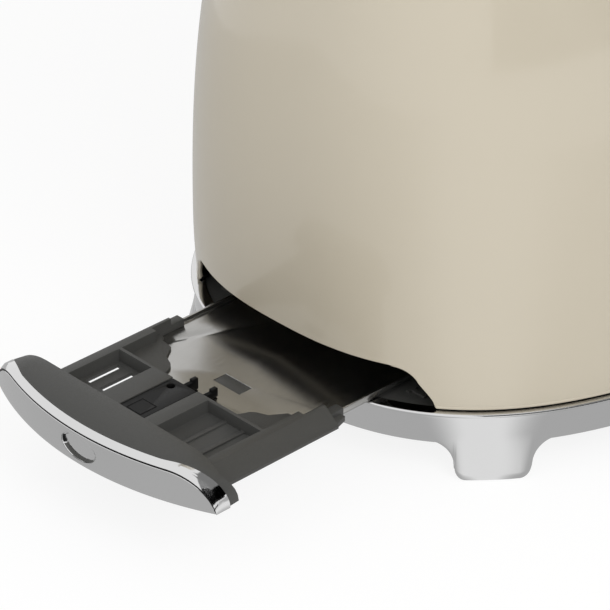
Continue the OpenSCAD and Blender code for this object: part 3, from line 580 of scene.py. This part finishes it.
def close_tree(tree, geometry, material):
    """Makes the copies real, gives them the material and ends the tree."""
    real = shader_node(tree, "GeometryNodeRealizeInstances", {"Geometry": geometry.outputs[0]})
    dyed = shader_node(tree, "GeometryNodeSetMaterial", {"Geometry": real.outputs[0], "Material": material})
    shader_node(tree, "NodeGroupOutput", {"Geometry": dyed.outputs[0]})
    return tree


def copies_on(tree, points, thing, turn=(0, 0, 0)):
    """Puts a copy of a thing on every point."""
    return shader_node(tree, "GeometryNodeInstanceOnPoints",
                       {"Points": points, "Instance": thing.outputs[0], "Rotation": turn})


def grown(name, tree, slot, base=None, **sizes):
    """Runs a tree on an object and turns its result into a plain mesh."""
    piece = base or plain_object(name, [])
    modifier = piece.modifiers.new("grow", "NODES")
    modifier.node_group = tree
    given = {"Material": FINISH[slot]} | {label.replace("_", " "): size for label, size in sizes.items()}
    for item in tree.interface.items_tree:
        if item.item_type == "SOCKET" and item.in_out == "INPUT" and item.name in given:
            modifier[item.identifier] = given[item.name]
    return settle(piece)


# %% The shell's tree
SHELL_COLUMNS, SHELL_ROWS = 385, 81
TUCK_SHARE = 0.125


def make_shell_tree():
    """A grid that is bent round the superellipse, tucked in below and drawn in at the shoulder."""
    tree, given = new_tree("drawn_shell", {
        "Half length": HALF_LENGTH, "Half width": HALF_WIDTH, "Low edge": SHELL_LOW, "Widest level": WIDEST_Z,
        "Top edge": SHELL_TOP, "Shoulder": SHOULDER_IN, "Tuck": HEM_TUCK, "Plan power": PLAN_POWER,
        "Shoulder power": SHOULDER_POWER})
    plus, minus, times, over = maths(tree, "ADD", "SUBTRACT", "MULTIPLY", "DIVIDE")
    power, larger = maths(tree, "POWER", "MAXIMUM")
    grid = shader_node(tree, "GeometryNodeMeshGrid", {
        "Size X": 1.0, "Size Y": 1.0, "Vertices X": SHELL_COLUMNS, "Vertices Y": SHELL_ROWS})
    spot = position(tree)
    turn = times(plus(spot[0], 0.5), 2 * math.pi)
    climb = plus(spot[1], 0.5)
    # The lowest rows are the tuck, and the rest is the shoulder's quarter turn.
    quarter = times(larger(over(minus(climb, TUCK_SHARE), 1 - TUCK_SHARE), 0.0), math.pi / 2)
    bend = over(2.0, given["Shoulder power"])
    height = times(minus(given["Top edge"], given["Widest level"]), power(calc(tree, "SINE", quarter), bend))
    side = power(larger(calc(tree, "COSINE", quarter), 0.0), bend)
    shoulder = times(given["Shoulder"], minus(1.0, side))
    fall = larger(minus(1.0, over(climb, TUCK_SHARE)), 0.0)
    tuck = times(given["Tuck"], times(fall, fall))
    drop = times(fall, minus(given["Widest level"], given["Low edge"]))
    inset = plus(shoulder, tuck)
    level = minus(plus(given["Widest level"], height), drop)
    corner = over(2.0, given["Plan power"])
    place = []
    for operation, half in (("COSINE", "Half length"), ("SINE", "Half width")):
        ratio = calc(tree, operation, turn)
        reach = times(calc(tree, "SIGN", ratio), power(calc(tree, "ABSOLUTE", ratio), corner))
        place.append(times(minus(given[half], inset), reach))
    moved = shader_node(tree, "GeometryNodeSetPosition",
                        {"Geometry": grid.outputs[0], "Position": vector(tree, *place, level)})
    sewn = shader_node(tree, "GeometryNodeMergeByDistance", {"Geometry": moved.outputs[0], "Distance": 1e-5})
    return close_tree(tree, sewn, given["Material"])


shell = grown("enamelled_shell", make_shell_tree(), "cream_enamel")
print(len(shell.data.polygons), "faces in the drawn skin")

# %% [markdown]
# The skin gets the thickness of the sheet, and then the doorway, the lever's slot, the holes for
# the dial and the buttons, and the vents are cut. The sheet's lower edge and the doorway are
# rolled over a thin wire, so a slim round hem follows them.

# %% Doorway outline
cap_low, cap_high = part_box("tray_front_cap")
FRONT_HALF = cap_high.y
TRAY_LOW, TRAY_TOP = cap_low.z, cap_high.z
DOOR_HALF = FRONT_HALF + 3.4 * MM
DOOR_TOP = TRAY_TOP + 1.0 * MM
DOOR_FLARE = 0.6 * MM
CORNER = 8 * MM
CORNER_IN = 3 * MM


def door_side(steps=10):
    """One side of the doorway's S-shaped outline, from its lower edge to its top."""
    low = RING_TOP - 0.4 * MM
    tall = DOOR_TOP - low
    side = [(DOOR_HALF + DOOR_FLARE, low), (DOOR_HALF + DOOR_FLARE / 4, low + 0.19 * tall),
            (DOOR_HALF - 0.9 * MM, low + 0.36 * tall)]
    return side + arc_points((DOOR_HALF - CORNER_IN - CORNER, DOOR_TOP - CORNER), CORNER, 20, 90, steps)


def smooth_path(points, steps):
    """A Catmull-Rom curve through the points."""
    def blend(p, q, r, s, t):
        bend, twist = 2 * p - 5 * q + 4 * r - s, 3 * q - p - 3 * r + s
        return 0.5 * (2 * q + (r - p) * t + bend * t * t + twist * t ** 3)
    ends = [points[0]] + list(points) + [points[-1]]
    curve = []
    for near in zip(ends, ends[1:], ends[2:], ends[3:]):
        for i in range(steps):
            curve.append(tuple(blend(*values, i / steps) for values in zip(*near)))
    return curve + [points[-1]]


DOOR_SIDE = smooth_path(door_side(), 3)
DOOR_OUTLINE = DOOR_SIDE + [(-y, z) for y, z in reversed(DOOR_SIDE)]

# %% Cut the shell
SHEET = 1.6 * MM
solid_skin = shell.modifiers.new("sheet", "SOLIDIFY")
solid_skin.thickness = SHEET
solid_skin.offset = -1
solid_skin.use_even_offset = True
settle(shell)


def slot_outline(centre_y, low, high, radius, steps=10):
    """An upright slot with round ends, as (y, z) pairs."""
    return (arc_points((centre_y, high - radius), radius, 0, 180, steps)
            + arc_points((centre_y, low + radius), radius, 180, 360, steps))


dial_low, dial_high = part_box("dial_ring")
DIAL_Z = (dial_low.z + dial_high.z) / 2
DIAL_RING_RADIUS = (dial_high.z - dial_low.z) / 2
arm_low, arm_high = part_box("lever_arm")
LEVER_TRAVEL = 65 * MM
SLOT_HALF = 3.5 * MM
SLOT_LOW = arm_low.z - LEVER_TRAVEL - 1 * MM
SLOT_HIGH = arm_high.z + 3 * MM
BEZEL_RADIUS = 9.3 * MM
FIT = 0.1 * MM
VENT_STEP, VENT_HALF = 9 * MM, 1.5 * MM
VENT_LOW, VENT_HIGH = 138 * MM, 162 * MM
END = HALF_LENGTH + 20 * MM
BUTTONS = {"button_" + name: sum(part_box("button_" + name), Vector()) / 2
           for name in ("bagel", "defrost", "reheat", "cancel")}


def round_outline(y, z, radius, sides):
    """A circle as (y, z) pairs."""
    return arc_points((y, z), radius + FIT, 0, 360 - 360 / sides, sides - 1)


far_cuts = {"lever": slot_outline(0, SLOT_LOW, SLOT_HIGH, SLOT_HALF),
            "dial": round_outline(0, DIAL_Z, DIAL_RING_RADIUS, 64)}
for name, middle in BUTTONS.items():
    far_cuts[name] = round_outline(middle.y, middle.z, BEZEL_RADIUS, 48)
cutters = [prism_x("cut_door", DOOR_OUTLINE, -END, -HALF_LENGTH / 2)]
cutters += [prism_x("cut_" + name, outline, HALF_LENGTH / 2, END) for name, outline in far_cuts.items()]
for step in range(-2, 3):
    outline = slot_outline(-VENT_STEP * step, VENT_LOW, VENT_HIGH, VENT_HALF, 6)
    vent = prism_x("cut_vent", outline, HALF_WIDTH / 2, HALF_WIDTH + 20 * MM)
    vent.data.transform(Matrix.Rotation(math.pi / 2, 4, "Z"))
    cutters.append(vent)
cut(shell, *cutters)
smooth_by_angle(shell.data, 28)
dress(shell, "housing", "cream_enamel", "outer_shell")
print(len(shell.data.polygons), "faces in the cut shell")

# %% Rolled hems
HEM = 0.7 * MM
HEM_IN, HEM_UP = 0.4 * MM, 0.3 * MM
DOOR_HEM = 0.8 * MM


def on_skin(y, z, inset=0.0):
    """The place on the skin's near end at a height and a distance from the centre line."""
    return Vector((-plan_x(y, skin_inset(z) + inset), y, z))


door_path = [on_skin(y, z, DOOR_HEM) for y, z in DOOR_OUTLINE if z > SHELL_LOW - 0.2 * MM]
dress(tube("doorway_hem", door_path, DOOR_HEM, sides=20), "housing", "cream_enamel")
DOOR_FOOT = abs(door_path[0].y)
# The hem starts at one foot of the doorway and runs round the far end to the other.
low_turns = [math.pi * (1 + i / 360) for i in range(720)]
low_path = [plan_point(turn, HEM_TUCK + HEM_IN) + Vector((0, 0, SHELL_LOW + HEM_UP)) for turn in low_turns]
low_path = [p for p in low_path if not (p.x < 0 and abs(p.y) < DOOR_FOOT)]
dress(tube("lower_hem", low_path, HEM), "housing", "cream_enamel")
print("the doorway is", round(2000 * DOOR_FOOT, 1), "mm wide at its foot")

# %% [markdown]
# ## The polished base ring
# The ring, its proud bead and its four feet are one polished casting. Its section changes on the
# way round: near a foot, the lower edge sweeps down to the worktop and the wall gets deeper. So
# the ring is a grid of sections, and each section reads how far it is from the nearest foot.

# %% The foot's place and sweep
RING_WALL = 3 * MM
RING_LOW = 12 * MM
FOOT_GAP = ring_low_corner.z
FOOT_DEPTH = 15 * MM
FOOT_TURN = math.radians(38.9)
FOOT_FACES = math.radians(50.68)
FOOT_ALONG = Vector((-math.sin(FOOT_FACES), math.cos(FOOT_FACES), 0))
FOOT_FLARE = 2.6 * MM
SOLE_HALF = 8.2 * MM
foot_point = plan_point(FOOT_TURN)


def foot_edge(distance):
    """Height of the lower edge at a distance along the ring from a foot's middle."""
    corner, flare, rise = 3.6 * MM, 9 * MM, 0.6 * MM
    away = SOLE_HALF + corner + flare + 0.2 * MM
    if distance <= SOLE_HALF:
        return FOOT_GAP
    if distance <= SOLE_HALF + 0.97 * corner:
        return FOOT_GAP + corner - math.sqrt(corner ** 2 - (distance - SOLE_HALF) ** 2)
    if distance < away:
        lift = RING_LOW + rise - flare + math.sqrt(max(0.0, flare ** 2 - (away - distance) ** 2))
        return min(RING_LOW, lift)
    return RING_LOW


# %% Build the ring
def foot_lean(z):
    """How far a foot's face stands out at a height: it sweeps outwards towards the worktop."""
    start = RING_LOW + 2.5 * MM
    return -FOOT_FLARE * max(0.0, (start - z) / (start - FOOT_GAP)) ** 1.5


def ring_section(edge, depth):
    """The ring's closed section as (inset, z) pairs, from the bead down the face and back up."""
    bead, soft, seat, steps = 0.65 * MM, 0.7 * MM, 19.5 * MM, 14
    middle = (bead - BEAD_OUT, RING_TOP - bead)
    section = [(RING_WALL, RING_TOP), (RING_WALL * 0.5, RING_TOP)] + arc_points(middle, bead, 90, 180, 6)
    section += arc_points(middle, bead, 180, 262, 5) + [(0.02 * MM, RING_TOP - 2 * bead - 0.35 * MM)]
    start = RING_TOP - 2 * bead - 0.6 * MM
    nearness = min(1.0, max(0.0, (RING_LOW - edge) / (RING_LOW - FOOT_GAP)))
    levels = [start + (edge + soft - start) * i / steps for i in range(steps + 1)]
    section += [(nearness * foot_lean(z), z) for z in levels]
    sole = nearness * foot_lean(edge + soft)
    section += arc_points((sole + soft, edge + soft), soft, 180, 270, 5)[1:]
    section += [(depth - soft, edge), (depth, edge + soft)]
    return section + [(depth, seat - 0.2 * MM), (depth - 0.1 * MM, seat), (RING_WALL, seat)]


def ring_turns(steps=480, foot_steps=60, foot_step=0.0032):
    """Turns round the outline, closer together near the feet."""
    turns = {round(2 * math.pi * i / steps, 6) for i in range(steps)}
    for foot in (FOOT_TURN, math.pi - FOOT_TURN, math.pi + FOOT_TURN, 2 * math.pi - FOOT_TURN):
        turns |= {round(foot + foot_step * i, 6) for i in range(-foot_steps, foot_steps + 1)}
    return sorted(turns)


points = []
turns = ring_turns()
for turn in turns:
    spot = plan_point(turn)
    folded = Vector((abs(spot.x), abs(spot.y), 0))
    edge = foot_edge(abs((folded - foot_point).dot(FOOT_ALONG)))
    nearness = min(1.0, max(0.0, (RING_LOW - edge) / (0.5 * MM)))
    section = ring_section(edge, RING_WALL + (FOOT_DEPTH - RING_WALL) * nearness)
    points += [plan_point(turn, inset) + Vector((0, 0, z)) for inset, z in section]
base = mesh_piece("polished_base", points, section_faces(len(turns), len(section), ring=True))
smooth_by_angle(base.data, 40)
dress(base, "housing", "polished_chrome", "base_ring")
print(len(base.data.polygons), "faces in the base ring")

# %% [markdown]
# ## The crumb tray
# The tray's front is a chromed cap that follows the body's curve. Its face is upright, and above a
# fine crease a band leans back to the top. The outline falls in a quarter round at each end.

# %% The cap's outline and thickness
TRAY_X = cap_low.x
FRONT_RADIUS = 113.5 * MM
FRONT_FLAT = 35 * MM
END_POWER = 2
DEEPER_FROM = 32 * MM
CREASE_DROP = 1.7 * MM
CREASE_LINE = 0.26 * MM
BAND = 1.6 * MM
CAP_MIDDLE, CAP_ENDS = 2.4 * MM, 5 * MM


def front_x(y, back=0.0):
    """Where the curved face lies at a distance from the centre line."""
    return TRAY_X + FRONT_RADIUS - math.sqrt((FRONT_RADIUS - back) ** 2 - y * y)


def front_top(y):
    """Height of the front's outline: flat in the middle and rounded at the ends."""
    out = min(1.0, max(0.0, abs(y) - FRONT_FLAT) / (FRONT_HALF - FRONT_FLAT))
    return TRAY_LOW + (TRAY_TOP - TRAY_LOW) * (1 - out ** END_POWER) ** (1 / END_POWER)


def cap_depth(y):
    """How thick the cap is: thin in the middle, and deeper towards its ends."""
    out = max(0.0, abs(y) - DEEPER_FROM) / (FRONT_HALF - DEEPER_FROM)
    return CAP_MIDDLE + (CAP_ENDS - CAP_MIDDLE) * out


# %% Front cap
def crease_at(y):
    """The crease at a distance from the centre line: its drop below the top, and its size."""
    drop = min(CREASE_DROP, 0.5 * (front_top(y) - TRAY_LOW))
    return drop, CREASE_LINE * drop / CREASE_DROP


def cap_section(y):
    """The cap's section at a distance from the centre line: (depth from the face, z) pairs."""
    top, deep, edge = front_top(y), cap_depth(y), 0.1 * MM
    tall = top - TRAY_LOW
    soft = min(0.5 * MM, 0.3 * tall)
    drop, width = crease_at(y)
    crease, low = top - drop, TRAY_LOW + soft
    lean = BAND * drop / CREASE_DROP
    section = arc_points((soft, low), soft, 270, 180, 4)
    section += [(0, low + (crease - 2 * width - low) * i / 6) for i in range(1, 7)]
    section += [(width, crease - width), (width, crease), (edge / 2, crease + width)]
    section += [(lean * 0.45, crease + drop * 0.62), (lean * 0.85, top - 0.12 * drop), (lean, top)]
    section += [(0.6 * lean + 0.4 * deep, top), (deep - edge, top), (deep, top - 0.03 * tall)]
    return section + [(deep, TRAY_LOW + 0.03 * tall), (deep - edge, TRAY_LOW)]


def across(steps=40):
    """Distances from the centre line: even in the middle, and by the outline's turn at the ends."""
    turns = [math.pi / 2 * i / steps for i in range(steps, 0, -1)]
    right = [FRONT_FLAT * i / steps for i in range(steps)]
    right += [FRONT_FLAT + (FRONT_HALF - FRONT_FLAT) * math.cos(turn) ** (2 / END_POWER) for turn in turns]
    return [-y for y in reversed(right[1:])] + right


def along_front(name, section_at, smooth=True):
    """A piece that follows the face, from its section at each distance from the centre line."""
    stations = across()
    points = [Vector((front_x(y, depth), y, z)) for y in stations for depth, z in section_at(y)]
    return mesh_piece(name, points, section_faces(len(stations), len(points) // len(stations)), smooth)


def crease_shade_section(y):
    """A black strip that paints the shade at the bottom of the crease."""
    drop, half = crease_at(y)
    corners = ((0.1, -1.2), (0.1, 1.3), (0.6, 0.6), (0.6, -0.6))
    return [(half * deep, front_top(y) - drop + half * up) for deep, up in corners]


cap = along_front("chromed_cap", cap_section)
print(len(cap.data.polygons), "faces in the front cap")
# The crease's dark line is painted shade: a black strip laid in the groove of the chrome cap.
dress(along_front("crease_shade_strip", crease_shade_section, smooth=False), "tray", "black_plastic")

# %% Push pad
pad_low, pad_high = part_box("tray_push_pad")
PAD = (pad_low + pad_high) / 2
PAD_HALF = (pad_high.y - pad_low.y) / 2 + 0.3 * MM
PAD_RISE = (pad_high.z - pad_low.z) / 2 + 0.3 * MM
PAD_HOLE_BACK = TRAY_X + 1.9 * MM
PAD_BACK = TRAY_X + 1.75 * MM
PAD_STEPS = 72
RIM, CENTRE = 0.995, 0.02


def oval(share, turn):
    """A point of the pad's oval as (y, z)."""
    return PAD.y + share * PAD_HALF * math.cos(turn), PAD.z + share * PAD_RISE * math.sin(turn)


def on_face(share, turn, depth):
    """A point of the oval that lies at a depth behind the curved face."""
    y, z = oval(share, turn)
    return Vector((front_x(y) + depth, y, z))


def dish(share, turn):
    """How deep the pad lies: level with the face at its top, and sunk at its lower edge."""
    y, z = oval(share, turn)
    down = 0.5 - 0.5 * (z - PAD.z) / PAD_RISE
    left = 0.5 + 0.5 * (y - PAD.y) / PAD_HALF
    return (0.12 + 0.95 * min(1.0, down ** 1.2 + 0.35 * left ** 3)) * MM


turns = [2 * math.pi * i / PAD_STEPS for i in range(PAD_STEPS)]
hole = [Vector((x, *oval(1.0, turn))) for x in (TRAY_X - 5 * MM, PAD_HOLE_BACK) for turn in turns]
cut(cap, mesh_piece("cut_pad", hole, section_faces(2, PAD_STEPS), smooth=False))
smooth_by_angle(cap.data, 38)
dress(cap, "tray", "polished_chrome", "tray_front_cap")

# From the middle of the back to its rim, over the rim in front, down the wall and across the dish.
points = [Vector((PAD_BACK, *oval(share, turn))) for share in (CENTRE, RIM) for turn in turns]
points += [on_face(RIM, turn, 0.02 * MM) for turn in turns]
points += [on_face(0.975, turn, 0.05 * MM) for turn in turns]
for share in (0.88, 0.84, 0.78, 0.6, 0.4, 0.2, CENTRE):
    points += [on_face(share, turn, dish(min(share, 0.86), turn)) for turn in turns]
push_pad = mesh_piece("oval_push_pad", points, section_faces(len(points) // PAD_STEPS, PAD_STEPS))
smooth_by_angle(push_pad.data, 30)
dress(push_pad, "tray", "polished_chrome", "tray_push_pad")


def painted_pad_wall(name, degrees, material):
    """A thin strip over the wall of the dish, between two directions of the oval, that paints the light on
    that wall in its material's colour.
    """
    points = []
    for turn in [math.radians(angle) for angle in degrees]:
        floor = dish(0.86, turn)
        points += [on_face(0.985, turn, 0.0), on_face(0.87, turn, floor - 0.04 * MM),
                   on_face(0.87, turn, floor), on_face(0.985, turn, 0.2 * MM)]
    dress(mesh_piece(name, points, section_faces(len(degrees), 4)), "tray", material)


# The black strip at the dish's end is a painted dark reflection, and the grey strip along its lower wall is
# painted shade.
painted_pad_wall("pad_painted_reflection", range(26, -24, -5), "black_plastic")
painted_pad_wall("pad_painted_shade", range(-24, -150, -5), "grey_plastic")

# %% Carrier, latch and plate
carrier = rounded("tray_carrier", 0.35 * MM)
latch = rounded("tray_latch", 0.25 * MM)
for name, radius in (("tray_hooks", 0.25), ("crumb_plate", 0.15), ("plate_pad", 0.12)):
    rounded(name, radius * MM)

# %% The gap beside the latch, with its painted shade, and the frame pressed into it
latch_low, latch_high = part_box("tray_latch")
GAP, GAP_DEEP, GAP_END = 1.1 * MM, 2 * MM, 2 * MM
SHADE_STRIP_LOW, SHADE_STRIP_HIGH = -1.9 * MM, -0.06 * MM
PAST = 0.35 * MM
FRAME_LINE = 0.14 * MM
FRAME_IN, FRAME_FROM, FRAME_TO = 2.2 * MM, 3.0 * MM, 9.5 * MM


def bar(name, start, end, near, far, bottom, top):
    """A bar beside the latch, between two levels that count from the latch's top."""
    low, high = latch_high.z + bottom, latch_high.z + top
    return prism_x(name, [(near, low), (far, low), (far, high), (near, high)], start, end)


# Two gaps are cut along the latch's edges, and in each a matt black strip just below the top paints the shade
# of the gap.
side, front = latch_high.y - GAP, latch_low.x + GAP
start, far = latch_low.x - GAP, latch_high.y + GAP
cut(latch, bar("cut_side", start, latch_high.x - GAP_END, side, far, -GAP_DEEP, GAP),
    bar("cut_front", start, front, latch_low.y - GAP, far, -GAP_DEEP, GAP))
smooth_by_angle(latch.data)
for name, start, end, near in (("gap_side", latch_low.x, latch_high.x - GAP_END - FIT, side),
                               ("gap_front", latch_low.x - PAST, front, latch_low.y)):
    strip = bar(name, start, end, near, latch_high.y + PAST, SHADE_STRIP_LOW, SHADE_STRIP_HIGH)
    dress(strip, "tray", "black_plastic")
start, end = latch_low.x + FRAME_FROM, latch_low.x + FRAME_TO
near, far = latch_low.y + FRAME_IN, latch_high.y - FRAME_IN
frame_path = rectangle(start, end, near, far, latch_high.z)
dress(tube("latch_frame", frame_path, FRAME_LINE, closed=True), "tray", "black_plastic")
print("carrier", len(carrier.data.polygons), "faces")

# %% [markdown]
# ## Top plate, lever and controls
# Away from the tray, the toaster has its bread slots, its lever, a browning dial and four buttons.
# Their solids already have the right shape, so they only get rounded edges and fine marks.

# %% Rounded pieces
for name, radius, segments in (
        ("top_plate", 0.5, 3), ("left_slot_collar", 0.6, 3), ("right_slot_collar", 0.6, 3),
        ("lever_knob", 1.6, 4), ("dial_ring", 0.7, 3), ("dial_knob", 1.0, 3), ("control_panel", 0.4, 2)):
    rounded(name, radius * MM, segments)
for name in BUTTONS:
    rounded(name, 0.8 * MM, 3)

# %% [markdown]
# ## Dial marks
# The dial carries plain numbers from one to six and a fine tick for each half step. The numbers
# are text turned to thin meshes, and the ticks are laid round the dial by Geometry Nodes.

# %% Ticks round the dial
RING_FACE = dial_high.x
TICK_THICK, TICK_WIDE = 0.12 * MM, 0.5 * MM


def make_tick_tree():
    """Fine ticks that stand round a circle, with a gap at its bottom."""
    tree, given = new_tree("dial_ticks", {
        "Radius": 17.5 * MM, "Length": 1.6 * MM, "Count": 11, "Face": 0.0, "Height": 0.0,
        "Sweep": math.radians(250)})
    plus, minus, times, over = maths(tree, "ADD", "SUBTRACT", "MULTIPLY", "DIVIDE")
    line = shader_node(tree, "GeometryNodeMeshLine", {"Count": given["Count"]})
    index = shader_node(tree, "GeometryNodeInputIndex").outputs[0]
    turn = times(minus(over(index, minus(given["Count"], 1.0)), 0.5), given["Sweep"])
    y = times(calc(tree, "SINE", turn), given["Radius"])
    z = plus(times(calc(tree, "COSINE", turn), given["Radius"]), given["Height"])
    points = shader_node(tree, "GeometryNodeSetPosition",
                         {"Geometry": line.outputs[0], "Position": vector(tree, given["Face"], y, z)})
    size = vector(tree, TICK_THICK, TICK_WIDE, given["Length"])
    tick = shader_node(tree, "GeometryNodeMeshCube", {"Size": size})
    copies = copies_on(tree, points.outputs[0], tick, vector(tree, times(turn, -1.0)))
    return close_tree(tree, copies, given["Material"])


ticks = grown("dial_ticks", make_tick_tree(), "black_plastic", Face=RING_FACE + 0.02 * MM, Height=DIAL_Z)
dress(ticks, "housing", "black_plastic")
print("ticks:", len(ticks.data.polygons), "faces")


# %% Numbers round the dial
NUMBER_RADIUS, NUMBER_HEIGHT = 19.3 * MM, 2.6 * MM


def number(text, turn):
    """A plain number that stands upright on the dial ring's face."""
    letters = bpy.data.curves.new("number_" + text, "FONT")
    letters.body = text
    letters.size = NUMBER_HEIGHT
    letters.align_x = letters.align_y = "CENTER"
    letters.extrude = 0.05 * MM
    mesh = drawn_mesh("number_" + text, letters)
    mesh.transform(Matrix.Rotation(math.pi / 2, 4, "Z") @ Matrix.Rotation(math.pi / 2, 4, "X"))
    y, z = NUMBER_RADIUS * math.sin(turn), DIAL_Z + NUMBER_RADIUS * math.cos(turn)
    mesh.transform(Matrix.Translation((RING_FACE + 0.04 * MM, y, z)))
    dress(link(bpy.data.objects.new("number_" + text, mesh)), "housing", "black_plastic")


for count in range(6):
    number(str(count + 1), math.radians(-125 + 50 * count))

# %% [markdown]
# ## Screws and springs
# The screws on the chassis and under the base are the same pan head many times over, so one tree
# puts a modelled head on every place. The return springs are coils: a helix with a round wire.

# %% Places of the separate solids in a node
def islands(node):
    """The middle and the half size of each separate solid in a node."""
    shape = joined_copy(node)
    left, found = set(shape.verts), []
    while left:
        queue, group = [left.pop()], []
        while queue:
            vert = queue.pop()
            group.append(vert.co.copy())
            for other in [edge.other_vert(vert) for edge in vert.link_edges]:
                if other in left:
                    left.remove(other)
                    queue.append(other)
        low, high = [Vector(map(pick, zip(*group))) for pick in (min, max)]
        found.append(((low + high) / 2, (high - low) / 2))
    shape.free()
    return sorted(found, key=lambda solid: tuple(solid[0]))


# %% Screw heads
def make_screw_tree():
    """A domed head with a cross recess on every point, turned along an axis."""
    tree, given = new_tree("pan_head_screws", {"Radius": 3 * MM, "Thickness": 1.5 * MM, "Axis": (0, 0, 1)})
    times, plus, size, less = maths(tree, "MULTIPLY", "ADD", "ABSOLUTE", "LESS_THAN")
    blank = shader_node(tree, "GeometryNodeMeshCylinder", {
        "Vertices": 32, "Side Segments": 1, "Fill Segments": 9, "Radius": given["Radius"],
        "Depth": given["Thickness"]}, fill_type="TRIANGLE_FAN")
    x, y, z = position(tree)
    out = shader_node(tree, "ShaderNodeVectorMath", {0: vector(tree, x, y)}, operation="LENGTH")
    share = calc(tree, "DIVIDE", out.outputs["Value"], given["Radius"])
    half_down = times(given["Thickness"], -0.5)
    near = times(given["Radius"], 0.2)
    cross = calc(tree, "MAXIMUM", less(size(x), near), less(size(y), near))
    recess = times(times(cross, less(share, 0.62)), half_down)
    drop = plus(times(calc(tree, "POWER", share, 3.0), half_down), recess)
    shift = vector(tree, z=times(drop, calc(tree, "GREATER_THAN", z, 0.0)))
    head = shader_node(tree, "GeometryNodeSetPosition", {"Geometry": blank.outputs[0], "Offset": shift})
    # An axis along X turns to face away from the middle, so one tree serves both end plates.
    axis = split(tree, given["Axis"])
    outward = vector(tree, times(axis[0], calc(tree, "SIGN", position(tree)[0])), axis[1], axis[2])
    facing = shader_node(tree, "FunctionNodeAlignRotationToVector", {"Vector": outward}, axis="Z")
    return close_tree(tree, copies_on(tree, given["Geometry"], head, facing.outputs[0]), given["Material"])


screw_tree = make_screw_tree()


def screws(node, axis):
    """Puts a modelled head on the place of every plain screw of a node."""
    found = islands(node)
    along = max(range(3), key=lambda i: abs(axis[i]))
    half = found[0][1]
    places = plain_object(node + "_heads", [middle for middle, _ in found])
    heads = grown(node + "_heads", screw_tree, "plated_steel", places,
                  Radius=half[(along + 1) % 3], Thickness=2 * half[along], Axis=axis)
    smooth_by_angle(heads.data, 40)
    print(node, len(found), "screws")
    return dress(heads, "housing", "plated_steel", node)


screws("chassis_screws", (1, 0, 0))
screws("base_screws", (0, 0, -1))

# %% Return springs
WIRE = 0.6 * MM
TURNS = 17.0


def make_coil_tree():
    """A round wire wound round every point, from the point's level upwards."""
    tree, given = new_tree("return_coils",
                           {"Radius": 4.5 * MM, "Height": 80 * MM, "Turns": TURNS, "Wire": WIRE})
    helix = shader_node(tree, "GeometryNodeCurveSpiral", {
        "Resolution": 20, "Rotations": given["Turns"], "Start Radius": given["Radius"],
        "End Radius": given["Radius"], "Height": given["Height"]})
    wire = shader_node(tree, "GeometryNodeCurvePrimitiveCircle", {"Resolution": 8, "Radius": given["Wire"]})
    coil = shader_node(tree, "GeometryNodeCurveToMesh",
                       {"Curve": helix.outputs[0], "Profile Curve": wire.outputs[0], "Fill Caps": True})
    return close_tree(tree, copies_on(tree, given["Geometry"], coil), given["Material"])


spring_low, spring_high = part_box("return_springs")
spring_length = spring_high.z - spring_low.z
springs = islands("return_springs")
places = plain_object("return_coils", [(middle.x, middle.y, spring_low.z + WIRE) for middle, _ in springs])
coils = grown("return_coils", make_coil_tree(), "bright_wire", places,
              Radius=springs[0][1].x - WIRE, Height=spring_length - 2 * WIRE)
smooth_by_angle(coils.data, 60)
dress(coils, "housing", "bright_wire", "return_springs")
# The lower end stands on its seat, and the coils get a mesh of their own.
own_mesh(coils)
print(len(springs), "springs,", len(coils.data.polygons), "faces")
